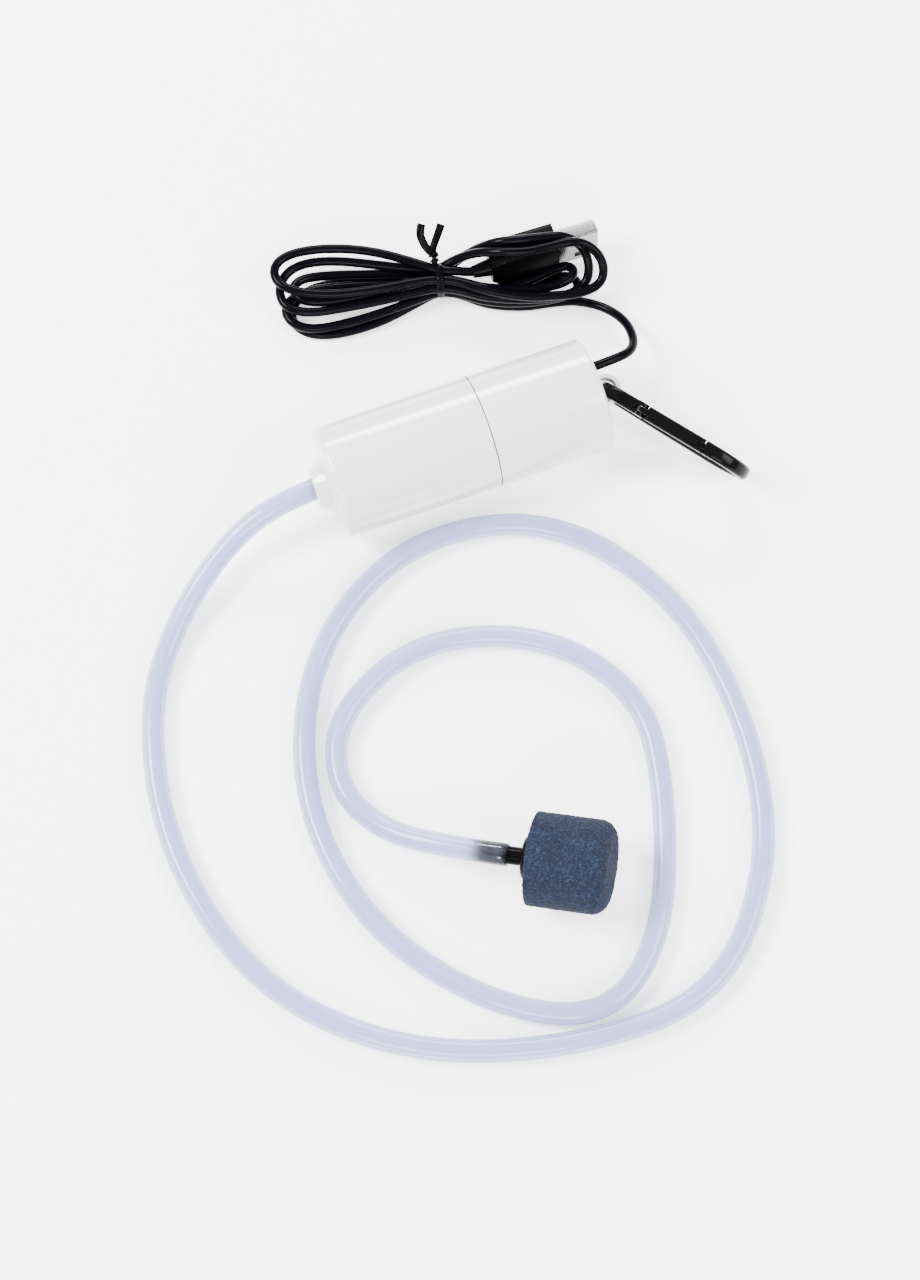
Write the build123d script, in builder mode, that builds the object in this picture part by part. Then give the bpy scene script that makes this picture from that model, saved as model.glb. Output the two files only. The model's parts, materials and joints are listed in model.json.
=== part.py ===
"""Pocket-size aquarium air pump, powered from a USB plug.

A round two-piece housing holds a brush motor and a three-cup diaphragm pump head.
A soft hose carries the air to a porous stone, a cord brings the power, and a snap
hook hangs from an eyelet on the back.

Frame: the pump lies on its side on the plane z = 0, with its axis along X. The hose
leaves at the -X end, the cord and the hook are at the +X end. Millimetres.
"""
import os
from math import asin, cos, degrees, radians, sin, tan

from build123d import *

os.makedirs("parts", exist_ok=True)

# --- Housing ---------------------------------------------------------------------
BODY_DIAMETER = 31.0
BODY_LENGTH = 76.0
FRONT_SHELL_LENGTH = 43.6
SHELL_WALL = 1.5
END_WALL = 2.0
EDGE_ROUND = 1.4
SEAM_GAP = 0.3
LIP_LENGTH = 4.0
LIP_THICKNESS = 0.75
LIP_CLEARANCE = 0.05
BOSS_BASE_DIAMETER = 14.6
BOSS_TIP_DIAMETER = 11.0
BOSS_HEIGHT = 4.4
INTAKE_HOLE = 1.6
INTAKE_COUNT = 5
EYELET_WIDTH = 8.2
EYELET_THICKNESS = 2.4
EYELET_HOLE = 6.0
EYELET_REACH = 3.0

# --- Cord and hose ---------------------------------------------------------------
CABLE_DIAMETER = 2.6
CABLE_OFFSET = 7.3
HOSE_DIAMETER = 6.0
HOSE_BORE = 4.0
HOSE_CLEARANCE = 0.1

# --- Pump head -------------------------------------------------------------------
PAD_THICKNESS = 1.8
HEAD_DIAMETER = 26.4
COVER_THICKNESS = 5.0
VALVE_PLATE_THICKNESS = 3.0
DIAPHRAGM_THICKNESS = 1.2
SEAT_THICKNESS = 4.0
FRAME_LENGTH = 17.0
FRAME_WALL = 1.4
FRAME_FLOOR = 2.0
PORT_DEPTH = 2.5
CUP_COUNT = 3
CUP_CIRCLE = 6.2
CUP_DIAMETER = 8.0
CUP_WALL = 0.8
CUP_DEPTH = 5.2
CUP_CLEARANCE = 0.3
STEM_DIAMETER = 2.4
BULB_DIAMETER = 3.4
NOZZLE_BORE = 2.4
NOZZLE_LENGTH = 9.0
HEAD_SCREW_CIRCLE = 10.8
HEAD_SCREW_DIAMETER = 1.6
HEAD_SCREW_LENGTH = 16.0
SCREW_CLEARANCE = 0.1
THREAD_CLEARANCE = 0.02

# --- Wobble drive ----------------------------------------------------------------
TILT = 8.0
PIN_DIAMETER = 2.0
PIN_CLEARANCE = 0.05
WOBBLE_ARM_WIDTH = 4.4
WOBBLE_THICKNESS = 2.0
WOBBLE_HUB_DIAMETER = 6.0
WOBBLE_HUB_LENGTH = 4.5
HUB_DIAMETER = 10.0
HUB_LENGTH = 6.0

# --- Motor -----------------------------------------------------------------------
MOTOR_DIAMETER = 24.4
CAN_LENGTH = 26.0
CAN_WALL = 0.8
BELL_LENGTH = 4.8
MOTOR_BOSS_DIAMETER = 6.2
MOTOR_BOSS_HEIGHT = 1.6
SHAFT_DIAMETER = 2.0
SHAFT_CLEARANCE = 0.04
MAGNET_THICKNESS = 2.0
MAGNET_LENGTH = 20.0
AIR_GAP = 0.4
CORE_LENGTH = 13.0
COIL_OVERHANG = 2.2
COMMUTATOR_DIAMETER = 5.2
MOTOR_SCREW_PITCH = 16.0
MOTOR_SCREW_DIAMETER = 2.0
WIRE_DIAMETER = 1.0
FOAM_CLEARANCE = 0.15

# --- Air stone -------------------------------------------------------------------
STONE_DIAMETER = 24.7
STONE_LENGTH = 21.3
STONE_ROUND = 4.4
STONE_HEADING = -30.5
STONE_TILT = 9.0
COLLAR_DIAMETER = 12.0
COLLAR_HEIGHT = 2.2
NECK_DIAMETER = 4.8
NECK_LENGTH = 4.0
BARB_LENGTH = 7.4
SOCKET_DEPTH = 9.0
SOCKET_DIAMETER = 5.0
HOSE_FLOOR = 3.0
STONE_PLACE = (-23.0, -114.2)

# --- Snap hook -------------------------------------------------------------------
HOOK_LENGTH = 46.5
HOOK_WIDTH = 22.0
HOOK_SMALL_END = 15.0
ROD_WIDTH = 3.9
ROD_THICKNESS = 3.4
HOOK_HEADING = -50.5
HOOK_DROP = 8.0
HOOK_LEAN = 18.0
ROD_ROUND = 1.2
RIVET_PLACE = 6.0
NOSE_PLACE = 26.0
GATE_GAP = 0.35
TONGUE_THICKNESS = 1.3
TONGUE_CLEARANCE = 0.1
RIVET_DIAMETER = 1.4

# --- USB plug --------------------------------------------------------------------
PLUG_PLACE = (44.5, 47.3)
PLUG_HEADING = -2.0
PLUG_LEAN = 6.0
OVERMOULD_WIDTH = 15.6
OVERMOULD_THICKNESS = 8.0
OVERMOULD_LENGTH = 15.0
TAPER_LENGTH = 4.0
TAPER_WIDTH = 9.0
TAPER_THICKNESS = 5.6
OVERMOULD_ROUND = 1.6
RELIEF_LENGTH = 5.0
RELIEF_DIAMETER = 5.0
SHELL_WIDTH = 12.0
SHELL_THICKNESS = 4.5
SHELL_LENGTH = 11.8
SHELL_SHEET = 0.3
SHELL_SEAT = 4.0
LATCH_HOLE = 2.2
LATCH_SPACING = 5.8
LATCH_SETBACK = 5.7

# --- Hank of spare cord ----------------------------------------------------------
WAIST_PLACE = (11.5, 50.0)
HANK_HEADING = -12.6
HANK_HEIGHT = 11.6
WAIST_DIAMETER = 10.0
TIE_WIDTH = 2.2
TIE_THICKNESS = 0.6

# --- Worked-out places -----------------------------------------------------------
BODY_RADIUS = BODY_DIAMETER / 2
AXIS_HEIGHT = BODY_RADIUS
CAVITY_RADIUS = BODY_RADIUS - SHELL_WALL
LIP_RADIUS = CAVITY_RADIUS + LIP_THICKNESS
FRONT_X = -BODY_LENGTH / 2
REAR_X = BODY_LENGTH / 2
SEAM_X = FRONT_X + FRONT_SHELL_LENGTH
COVER_X = FRONT_X + END_WALL + PAD_THICKNESS
VALVE_PLATE_X = COVER_X + COVER_THICKNESS
DIAPHRAGM_X = VALVE_PLATE_X + VALVE_PLATE_THICKNESS
SEAT_X = DIAPHRAGM_X + DIAPHRAGM_THICKNESS
FRAME_X = SEAT_X + SEAT_THICKNESS
MOTOR_X = FRAME_X + FRAME_LENGTH
BELL_X = MOTOR_X + CAN_LENGTH
MOTOR_REAR_X = BELL_X + BELL_LENGTH
PIVOT_X = FRAME_X + 4.5
HUB_X = MOTOR_X - FRAME_FLOOR - 0.8 - HUB_LENGTH
CORE_X = MOTOR_X + 5.5
HEAD_RADIUS = HEAD_DIAMETER / 2
HOSE_RADIUS = HOSE_DIAMETER / 2
CABLE_RADIUS = CABLE_DIAMETER / 2

PUMP_AXIS = Axis((0, 0, AXIS_HEIGHT), (1, 0, 0))
# Half-sections of the turned pieces: x along the pump's axis, y the distance from it.
TURNING = Plane(origin=(0, 0, AXIS_HEIGHT), x_dir=(1, 0, 0), z_dir=(0, -1, 0))


def station(x):
    """The plane across the pump's axis at x, facing the cord end; local y points up."""
    return Plane(origin=(x, 0, AXIS_HEIGHT), x_dir=(0, 1, 0), z_dir=(1, 0, 0))


def rings(builder, x, radius):
    """Circular edges of a turned piece, at one place along the axis and one radius."""
    circles = builder.edges().filter_by(GeomType.CIRCLE)
    return [e for e in circles if abs(e.arc_center.X - x) < 0.01 and abs(e.radius - radius) < 0.01]


def unit(heading, slope):
    """Unit vector from a heading about Z and a rise above the horizontal, in degrees."""
    level = cos(radians(slope))
    return Vector(level * cos(radians(heading)), level * sin(radians(heading)), sin(radians(slope)))


def save(builder, name):
    builder.part.label = name
    export_step(builder.part, f"parts/{name}.step")


# === Housing =====================================================================

# Front shell: open at the seam, with the hose boss in the middle of its end wall.
with BuildPart() as front_shell:
    with BuildSketch(TURNING):
        with BuildLine():
            Polyline(
                (FRONT_X - BOSS_HEIGHT, HOSE_RADIUS + HOSE_CLEARANCE),
                (FRONT_X - BOSS_HEIGHT, BOSS_TIP_DIAMETER / 2),
                (FRONT_X, BOSS_BASE_DIAMETER / 2),
                (FRONT_X, BODY_RADIUS),
                (SEAM_X - SEAM_GAP / 2, BODY_RADIUS),
                (SEAM_X - SEAM_GAP / 2, LIP_RADIUS + LIP_CLEARANCE),
                (SEAM_X - LIP_LENGTH - LIP_CLEARANCE, LIP_RADIUS + LIP_CLEARANCE),
                (SEAM_X - LIP_LENGTH - LIP_CLEARANCE, CAVITY_RADIUS),
                (FRONT_X + END_WALL, CAVITY_RADIUS),
                (FRONT_X + END_WALL, HOSE_RADIUS + HOSE_CLEARANCE),
                close=True,
            )
        make_face()
    revolve(axis=PUMP_AXIS)
    fillet(rings(front_shell, FRONT_X, BODY_RADIUS), EDGE_ROUND)
    fillet(rings(front_shell, FRONT_X, BOSS_BASE_DIAMETER / 2), BOSS_HEIGHT / 2.5)
    fillet(rings(front_shell, FRONT_X - BOSS_HEIGHT, BOSS_TIP_DIAMETER / 2), BOSS_HEIGHT / 5)
save(front_shell, "front_shell")

# Rear shell: its lip plugs into the front shell; the end wall carries the eyelet,
# the cord hole beside it and a row of air intake holes on the other side.
with BuildPart() as rear_shell:
    with BuildSketch(TURNING):
        with BuildLine():
            Polyline(
                (SEAM_X + SEAM_GAP / 2, LIP_RADIUS),
                (SEAM_X + SEAM_GAP / 2, BODY_RADIUS),
                (REAR_X, BODY_RADIUS),
                (REAR_X, 0),
                (REAR_X - END_WALL, 0),
                (REAR_X - END_WALL, CAVITY_RADIUS),
                (SEAM_X - LIP_LENGTH, CAVITY_RADIUS),
                (SEAM_X - LIP_LENGTH, LIP_RADIUS),
                close=True,
            )
        make_face()
    revolve(axis=PUMP_AXIS)
    fillet(rings(rear_shell, REAR_X, BODY_RADIUS), EDGE_ROUND)
    with BuildSketch(Plane.XY.offset(AXIS_HEIGHT - EYELET_THICKNESS / 2)):
        with Locations((REAR_X + EYELET_REACH / 2 - END_WALL / 4, 0)):
            Rectangle(EYELET_REACH + END_WALL / 2, EYELET_WIDTH)
        with Locations((REAR_X + EYELET_REACH, 0)):
            Circle(EYELET_WIDTH / 2)
            Circle(EYELET_HOLE / 2, mode=Mode.SUBTRACT)
    extrude(amount=EYELET_THICKNESS)
    with BuildSketch(station(REAR_X - END_WALL)):
        with Locations((CABLE_OFFSET, 0)):
            Circle(CABLE_RADIUS + 1.0)
        with PolarLocations(CAVITY_RADIUS * 0.65, INTAKE_COUNT, start_angle=140, angular_range=80,
                            rotate=False, endpoint=True):
            Circle(INTAKE_HOLE / 2)
    extrude(amount=END_WALL, mode=Mode.SUBTRACT)
save(rear_shell, "rear_shell")

# Rubber bush that lines the cord's hole, with a flange on the inside of the wall.
with BuildPart() as cable_grommet:
    with BuildSketch(station(REAR_X - END_WALL - 1.0)):
        with Locations((CABLE_OFFSET, 0)):
            Circle(CABLE_RADIUS + 2.0)
    extrude(amount=1.0)
    with BuildSketch(station(REAR_X - END_WALL)):
        with Locations((CABLE_OFFSET, 0)):
            Circle(CABLE_RADIUS + 1.0 - LIP_CLEARANCE)
    extrude(amount=END_WALL + 0.8)
    with BuildSketch(station(REAR_X - END_WALL - 1.0)):
        with Locations((CABLE_OFFSET, 0)):
            Circle(CABLE_RADIUS + LIP_CLEARANCE)
    extrude(amount=END_WALL + 1.8, mode=Mode.SUBTRACT)
save(cable_grommet, "cable_grommet")

# Felt strip behind the intake holes.
with BuildPart() as intake_felt:
    with BuildSketch(station(REAR_X - END_WALL - 1.5)):
        Circle(CAVITY_RADIUS - 2.0)
        Circle(CAVITY_RADIUS * 0.65 - 2.6, mode=Mode.SUBTRACT)
        with Locations((CAVITY_RADIUS / 2, 0)):
            Rectangle(CAVITY_RADIUS + 9.0, 2 * CAVITY_RADIUS, mode=Mode.SUBTRACT)
    extrude(amount=1.5)
save(intake_felt, "intake_felt")

# Foam tube that centres the motor and quiets it.
with BuildPart() as foam_sleeve:
    with BuildSketch(station(MOTOR_X + 2.0)):
        Circle(CAVITY_RADIUS - FOAM_CLEARANCE)
        Circle(MOTOR_DIAMETER / 2 + FOAM_CLEARANCE, mode=Mode.SUBTRACT)
    extrude(amount=CAN_LENGTH - 3.0)
save(foam_sleeve, "foam_sleeve")

# Foam washer between the end wall and the pump head.
with BuildPart() as front_pad:
    with BuildSketch(station(FRONT_X + END_WALL)):
        Circle(HEAD_RADIUS - 0.4)
        Circle(HOSE_RADIUS + 1.0, mode=Mode.SUBTRACT)
    extrude(amount=PAD_THICKNESS)
save(front_pad, "front_pad")

# === Pump head ===================================================================

CUP_START = 90
SCREW_START = CUP_START + 180 / CUP_COUNT
OUTLET_CIRCLE = CUP_CIRCLE - CUP_DIAMETER / 2 + CUP_WALL + 0.6
PLENUM_RADIUS = OUTLET_CIRCLE + 1.2
PLENUM_WALL = 0.7
INTAKE_RING_RADIUS = 9.2


def head_screws_at(radius, mode=Mode.ADD):
    """Circles where the screws that clamp the head run, on the sketch in hand."""
    with PolarLocations(HEAD_SCREW_CIRCLE, CUP_COUNT, start_angle=SCREW_START):
        Circle(radius, mode=mode)


# Head cover: the middle well leads to the nozzle, the ring round it takes air in
# through three notches in the rim.
with BuildPart() as head_cover:
    with BuildSketch(station(COVER_X)):
        Circle(HEAD_RADIUS)
    extrude(amount=COVER_THICKNESS)
    with BuildSketch(station(COVER_X - NOZZLE_LENGTH)):
        Circle(HOSE_BORE / 2)
    extrude(amount=NOZZLE_LENGTH)
    with BuildSketch(station(VALVE_PLATE_X - PORT_DEPTH)):
        Circle(INTAKE_RING_RADIUS)
        Circle(PLENUM_RADIUS + PLENUM_WALL, mode=Mode.SUBTRACT)
        Circle(PLENUM_RADIUS)
        with PolarLocations(HEAD_RADIUS - 2.0, CUP_COUNT, start_angle=CUP_START):
            Rectangle(5.0, 2.0)
    extrude(amount=PORT_DEPTH, mode=Mode.SUBTRACT)
    with BuildSketch(station(COVER_X - NOZZLE_LENGTH)):
        Circle(NOZZLE_BORE / 2)
    extrude(amount=NOZZLE_LENGTH + COVER_THICKNESS, mode=Mode.SUBTRACT)
    with BuildSketch(station(COVER_X)):
        head_screws_at(HEAD_SCREW_DIAMETER / 2 + SCREW_CLEARANCE)
    extrude(amount=COVER_THICKNESS, mode=Mode.SUBTRACT)
    with BuildSketch(station(COVER_X)):
        head_screws_at(HEAD_SCREW_DIAMETER + SCREW_CLEARANCE)
    extrude(amount=1.4, mode=Mode.SUBTRACT)
save(head_cover, "head_cover")

# Valve plate: each cup has two intake holes round its valve's stem and one outlet
# hole nearer the axis, under the middle well.
with BuildPart() as valve_plate:
    with BuildSketch(station(VALVE_PLATE_X)):
        Circle(HEAD_RADIUS)
        head_screws_at(HEAD_SCREW_DIAMETER / 2 + SCREW_CLEARANCE, Mode.SUBTRACT)
        Circle(0.9, mode=Mode.SUBTRACT)
        with PolarLocations(CUP_CIRCLE, CUP_COUNT, start_angle=CUP_START):
            Circle(0.7, mode=Mode.SUBTRACT)
            with Locations((0, 1.5), (0, -1.5)):
                Circle(0.5, mode=Mode.SUBTRACT)
        with PolarLocations(OUTLET_CIRCLE, CUP_COUNT, start_angle=CUP_START):
            Circle(0.45, mode=Mode.SUBTRACT)
    extrude(amount=VALVE_PLATE_THICKNESS)
save(valve_plate, "valve_plate")

# Rubber intake valves, one in each cup: a flap on the cup side, a stem through the plate.
with BuildPart() as inlet_valves:
    with BuildSketch(station(DIAPHRAGM_X)):
        with PolarLocations(CUP_CIRCLE, CUP_COUNT, start_angle=CUP_START):
            Circle(2.6)
    extrude(amount=0.6)
    with BuildSketch(station(VALVE_PLATE_X - 0.8)):
        with PolarLocations(CUP_CIRCLE, CUP_COUNT, start_angle=CUP_START):
            Circle(0.65)
    extrude(amount=VALVE_PLATE_THICKNESS + 0.8)
save(inlet_valves, "inlet_valves")

# Rubber outlet valve: one flap in the middle well covers all three outlet holes.
with BuildPart() as outlet_valve:
    with BuildSketch(station(VALVE_PLATE_X - 0.6)):
        Circle(PLENUM_RADIUS - 0.3)
    extrude(amount=0.6)
    with BuildSketch(station(VALVE_PLATE_X)):
        Circle(0.85)
    extrude(amount=VALVE_PLATE_THICKNESS - 0.4)
save(outlet_valve, "outlet_valve")


def cup_lift(angle):
    """How far the tilted plate carries a cup towards the motor, at the rest pose."""
    return -CUP_CIRCLE * tan(radians(TILT)) * sin(radians(angle))


# Rubber diaphragm: a flat flange with three cups, each ending in a stem that is
# buttoned through an arm of the wobble plate.
with BuildPart() as diaphragm:
    with BuildSketch(station(DIAPHRAGM_X)):
        Circle(HEAD_RADIUS - 0.3)
        head_screws_at(HEAD_SCREW_DIAMETER / 2 + SCREW_CLEARANCE, Mode.SUBTRACT)
    extrude(amount=DIAPHRAGM_THICKNESS)
    with BuildSketch(station(DIAPHRAGM_X)):
        with PolarLocations(CUP_CIRCLE, CUP_COUNT, start_angle=CUP_START):
            Circle(CUP_DIAMETER / 2)
    extrude(amount=CUP_DEPTH)
    with BuildSketch(station(DIAPHRAGM_X)):
        with PolarLocations(CUP_CIRCLE, CUP_COUNT, start_angle=CUP_START):
            Circle(CUP_DIAMETER / 2 - CUP_WALL)
    extrude(amount=CUP_DEPTH - CUP_WALL, mode=Mode.SUBTRACT)
    for number in range(CUP_COUNT):
        angle = CUP_START + number * 360 / CUP_COUNT
        arm_x = PIVOT_X + cup_lift(angle)
        button_x = arm_x + WOBBLE_THICKNESS / 2 + 0.5
        with BuildSketch(station(DIAPHRAGM_X + CUP_DEPTH)):
            with Locations((CUP_CIRCLE * cos(radians(angle)), CUP_CIRCLE * sin(radians(angle)))):
                Circle(STEM_DIAMETER / 2)
        extrude(amount=button_x - DIAPHRAGM_X - CUP_DEPTH)
        with BuildSketch(station(button_x)):
            with Locations((CUP_CIRCLE * cos(radians(angle)), CUP_CIRCLE * sin(radians(angle)))):
                Circle(BULB_DIAMETER / 2)
        extrude(amount=1.4, taper=20)
save(diaphragm, "diaphragm")

# Seat: guides the cups and clamps the diaphragm's flange.
with BuildPart() as diaphragm_seat:
    with BuildSketch(station(SEAT_X)):
        Circle(HEAD_RADIUS)
        head_screws_at(HEAD_SCREW_DIAMETER / 2 + SCREW_CLEARANCE, Mode.SUBTRACT)
        with PolarLocations(CUP_CIRCLE, CUP_COUNT, start_angle=CUP_START):
            Circle(CUP_DIAMETER / 2 + CUP_CLEARANCE, mode=Mode.SUBTRACT)
    extrude(amount=SEAT_THICKNESS)
save(diaphragm_seat, "diaphragm_seat")

# Frame: a tube between the head and the motor, with a post for each head screw, three
# windows beside the arms and a floor that is screwed to the motor.
with BuildPart() as pump_frame:
    with BuildSketch(station(FRAME_X)):
        Circle(HEAD_RADIUS)
        Circle(HEAD_RADIUS - FRAME_WALL, mode=Mode.SUBTRACT)
        head_screws_at(2.1)
        head_screws_at(HEAD_SCREW_DIAMETER / 2 + THREAD_CLEARANCE, Mode.SUBTRACT)
    extrude(amount=FRAME_LENGTH)
    with BuildSketch(station(FRAME_X + 2.0)):
        with PolarLocations(HEAD_RADIUS, CUP_COUNT, start_angle=CUP_START):
            Rectangle(6.0, 9.0)
    extrude(amount=FRAME_LENGTH - FRAME_FLOOR - 4.0, mode=Mode.SUBTRACT)
    with BuildSketch(station(MOTOR_X - FRAME_FLOOR)):
        Circle(HEAD_RADIUS - FRAME_WALL / 2)
        Circle(MOTOR_BOSS_DIAMETER / 2 + SCREW_CLEARANCE, mode=Mode.SUBTRACT)
        with Locations((MOTOR_SCREW_PITCH / 2, 0), (-MOTOR_SCREW_PITCH / 2, 0)):
            Circle(MOTOR_SCREW_DIAMETER / 2 + SCREW_CLEARANCE, mode=Mode.SUBTRACT)
    extrude(amount=FRAME_FLOOR)
save(pump_frame, "pump_frame")

# Three long screws through cover, valve plate, diaphragm and seat into the posts.
with BuildPart() as head_screws:
    with BuildSketch(station(COVER_X + 0.1)):
        head_screws_at(HEAD_SCREW_DIAMETER)
    extrude(amount=1.2)
    with BuildSketch(station(COVER_X + 1.3)):
        head_screws_at(HEAD_SCREW_DIAMETER / 2)
    extrude(amount=HEAD_SCREW_LENGTH)
    with BuildSketch(station(COVER_X + 0.1)):
        with PolarLocations(HEAD_SCREW_CIRCLE, CUP_COUNT, start_angle=SCREW_START):
            Rectangle(2.0, 0.4)
            Rectangle(0.4, 2.0)
    extrude(amount=0.6, mode=Mode.SUBTRACT)
save(head_screws, "head_screws")

# Two short screws from inside the frame into the motor's face.
with BuildPart() as motor_screws:
    with BuildSketch(station(MOTOR_X - FRAME_FLOOR - 1.2)):
        with Locations((MOTOR_SCREW_PITCH / 2, 0), (-MOTOR_SCREW_PITCH / 2, 0)):
            Circle(MOTOR_SCREW_DIAMETER * 0.9)
    extrude(amount=1.2)
    with BuildSketch(station(MOTOR_X - FRAME_FLOOR)):
        with Locations((MOTOR_SCREW_PITCH / 2, 0), (-MOTOR_SCREW_PITCH / 2, 0)):
            Circle(MOTOR_SCREW_DIAMETER / 2)
    extrude(amount=FRAME_FLOOR + 1.6)
    with BuildSketch(station(MOTOR_X - FRAME_FLOOR - 1.2)):
        with Locations((MOTOR_SCREW_PITCH / 2, 0), (-MOTOR_SCREW_PITCH / 2, 0)):
            Rectangle(2.2, 0.5)
    extrude(amount=0.6, mode=Mode.SUBTRACT)
save(motor_screws, "motor_screws")

# === Wobble drive ================================================================

# The pin's line crosses the pump's axis at the pivot and rises towards the cord end.
PIN_DIRECTION = Vector(cos(radians(TILT)), 0, sin(radians(TILT)))
PIVOT = Vector(PIVOT_X, 0, AXIS_HEIGHT)


def tilted(distance):
    """The plane across the tilted pin, a distance along it from the pivot."""
    return Plane(origin=PIVOT + PIN_DIRECTION * distance, x_dir=(0, 1, 0), z_dir=PIN_DIRECTION)


# Wobble plate: three arms round a hub, bored from the motor's side for the pin.
with BuildPart() as wobble_plate:
    with BuildSketch(tilted(-WOBBLE_THICKNESS / 2)):
        Circle(WOBBLE_HUB_DIAMETER / 2)
        with PolarLocations(CUP_CIRCLE, CUP_COUNT, start_angle=CUP_START):
            Circle(WOBBLE_ARM_WIDTH / 2)
        with PolarLocations(CUP_CIRCLE / 2, CUP_COUNT, start_angle=CUP_START):
            Rectangle(CUP_CIRCLE, WOBBLE_ARM_WIDTH - 1.0)
        with PolarLocations(CUP_CIRCLE, CUP_COUNT, start_angle=CUP_START):
            Circle(STEM_DIAMETER / 2 + 0.25, mode=Mode.SUBTRACT)
    extrude(amount=WOBBLE_THICKNESS)
    with BuildSketch(tilted(-WOBBLE_HUB_LENGTH / 3)):
        Circle(WOBBLE_HUB_DIAMETER / 2)
    extrude(amount=WOBBLE_HUB_LENGTH)
    with BuildSketch(tilted(-WOBBLE_HUB_LENGTH / 3 + 1.0)):
        Circle(PIN_DIAMETER / 2 + PIN_CLEARANCE)
    extrude(amount=WOBBLE_HUB_LENGTH, mode=Mode.SUBTRACT)
save(wobble_plate, "wobble_plate")

# Eccentric hub: pressed on the motor's shaft, with a slanted hole for the pin.
PIN_SEAT = (HUB_X - PIVOT_X) / cos(radians(TILT)) + HUB_LENGTH * 0.42
PIN_START = -WOBBLE_HUB_LENGTH / 3 + 1.2
SHAFT_FRONT_X = HUB_X + HUB_LENGTH * 0.55

with BuildPart() as eccentric_hub:
    with BuildSketch(station(HUB_X)):
        Circle(HUB_DIAMETER / 2)
    extrude(amount=HUB_LENGTH)
    chamfer(rings(eccentric_hub, HUB_X, HUB_DIAMETER / 2), 0.6)
    with BuildSketch(station(SHAFT_FRONT_X)):
        Circle(SHAFT_DIAMETER / 2)
    extrude(amount=HUB_LENGTH, mode=Mode.SUBTRACT)
    with BuildSketch(tilted(PIN_SEAT)):
        Circle(PIN_DIAMETER / 2)
    extrude(amount=-HUB_LENGTH, mode=Mode.SUBTRACT)
save(eccentric_hub, "eccentric_hub")

# Steel pin: pressed in the hub at a slant, turns freely in the wobble plate.
with BuildPart() as tilt_pin:
    with BuildSketch(tilted(PIN_START)):
        Circle(PIN_DIAMETER / 2)
    extrude(amount=PIN_SEAT - PIN_START)
save(tilt_pin, "tilt_pin")

# === Motor =======================================================================

MOTOR_RADIUS = MOTOR_DIAMETER / 2
MAGNET_RADIUS = MOTOR_RADIUS - CAN_WALL - THREAD_CLEARANCE
CORE_RADIUS = MAGNET_RADIUS - MAGNET_THICKNESS - AIR_GAP
BUSH_RADIUS = 2.5
SHAFT_REAR_X = MOTOR_REAR_X + 0.4
BELL_PLATE = 3.2
TERMINAL_HEIGHT = 7.5

with BuildPart() as motor_can:
    with BuildSketch(station(MOTOR_X)):
        Circle(MOTOR_RADIUS)
    extrude(amount=CAN_LENGTH)
    fillet(rings(motor_can, MOTOR_X, MOTOR_RADIUS), 1.0)
    with BuildSketch(station(MOTOR_X - MOTOR_BOSS_HEIGHT)):
        Circle(MOTOR_BOSS_DIAMETER / 2)
    extrude(amount=MOTOR_BOSS_HEIGHT)
    with BuildSketch(station(MOTOR_X + CAN_WALL)):
        Circle(MOTOR_RADIUS - CAN_WALL)
    extrude(amount=CAN_LENGTH, mode=Mode.SUBTRACT)
    with BuildSketch(station(MOTOR_X - MOTOR_BOSS_HEIGHT)):
        Circle(BUSH_RADIUS)
        with Locations((MOTOR_SCREW_PITCH / 2, 0), (-MOTOR_SCREW_PITCH / 2, 0)):
            Circle(MOTOR_SCREW_DIAMETER / 2 + THREAD_CLEARANCE)
    extrude(amount=MOTOR_BOSS_HEIGHT + CAN_WALL, mode=Mode.SUBTRACT)
save(motor_can, "motor_can")

with BuildPart() as magnets:
    with BuildSketch(station(MOTOR_X + 3.0)):
        Circle(MAGNET_RADIUS)
        Circle(MAGNET_RADIUS - MAGNET_THICKNESS, mode=Mode.SUBTRACT)
        Rectangle(2 * MOTOR_RADIUS, 8.0, mode=Mode.SUBTRACT)
    extrude(amount=MAGNET_LENGTH)
save(magnets, "magnets")

# Spring strip that spreads the two magnets, in the gap on each side.
with BuildPart() as magnet_clips:
    with BuildSketch(station(MOTOR_X + 4.0)):
        with Locations((MAGNET_RADIUS - 1.1, 0), (1.1 - MAGNET_RADIUS, 0)):
            Rectangle(0.5, 7.6)
    extrude(amount=MAGNET_LENGTH - 2.0)
save(magnet_clips, "magnet_clips")

with BuildPart() as front_bearing:
    with BuildSketch(station(MOTOR_X - MOTOR_BOSS_HEIGHT)):
        Circle(BUSH_RADIUS - THREAD_CLEARANCE)
        Circle(SHAFT_DIAMETER / 2 + SHAFT_CLEARANCE, mode=Mode.SUBTRACT)
    extrude(amount=MOTOR_BOSS_HEIGHT + CAN_WALL + 0.8)
save(front_bearing, "front_bearing")

with BuildPart() as rear_bearing:
    with BuildSketch(station(BELL_X + 1.6)):
        Circle(BUSH_RADIUS - THREAD_CLEARANCE)
        Circle(SHAFT_DIAMETER / 2 + SHAFT_CLEARANCE, mode=Mode.SUBTRACT)
    extrude(amount=BELL_LENGTH - 1.6)
save(rear_bearing, "rear_bearing")

with BuildPart() as end_bell:
    with BuildSketch(station(BELL_X)):
        Circle(MOTOR_RADIUS)
    extrude(amount=BELL_PLATE)
    with BuildSketch(station(BELL_X + BELL_PLATE)):
        Circle(MOTOR_BOSS_DIAMETER / 2)
    extrude(amount=BELL_LENGTH - BELL_PLATE)
    with BuildSketch(station(BELL_X)):
        Circle(MOTOR_RADIUS - 3.0)
    extrude(amount=1.6, mode=Mode.SUBTRACT)
    with BuildSketch(station(BELL_X)):
        Circle(BUSH_RADIUS)
        with Locations((0, TERMINAL_HEIGHT), (0, -TERMINAL_HEIGHT)):
            Rectangle(2.5, 0.5)
    extrude(amount=BELL_LENGTH, mode=Mode.SUBTRACT)
save(end_bell, "end_bell")

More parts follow.
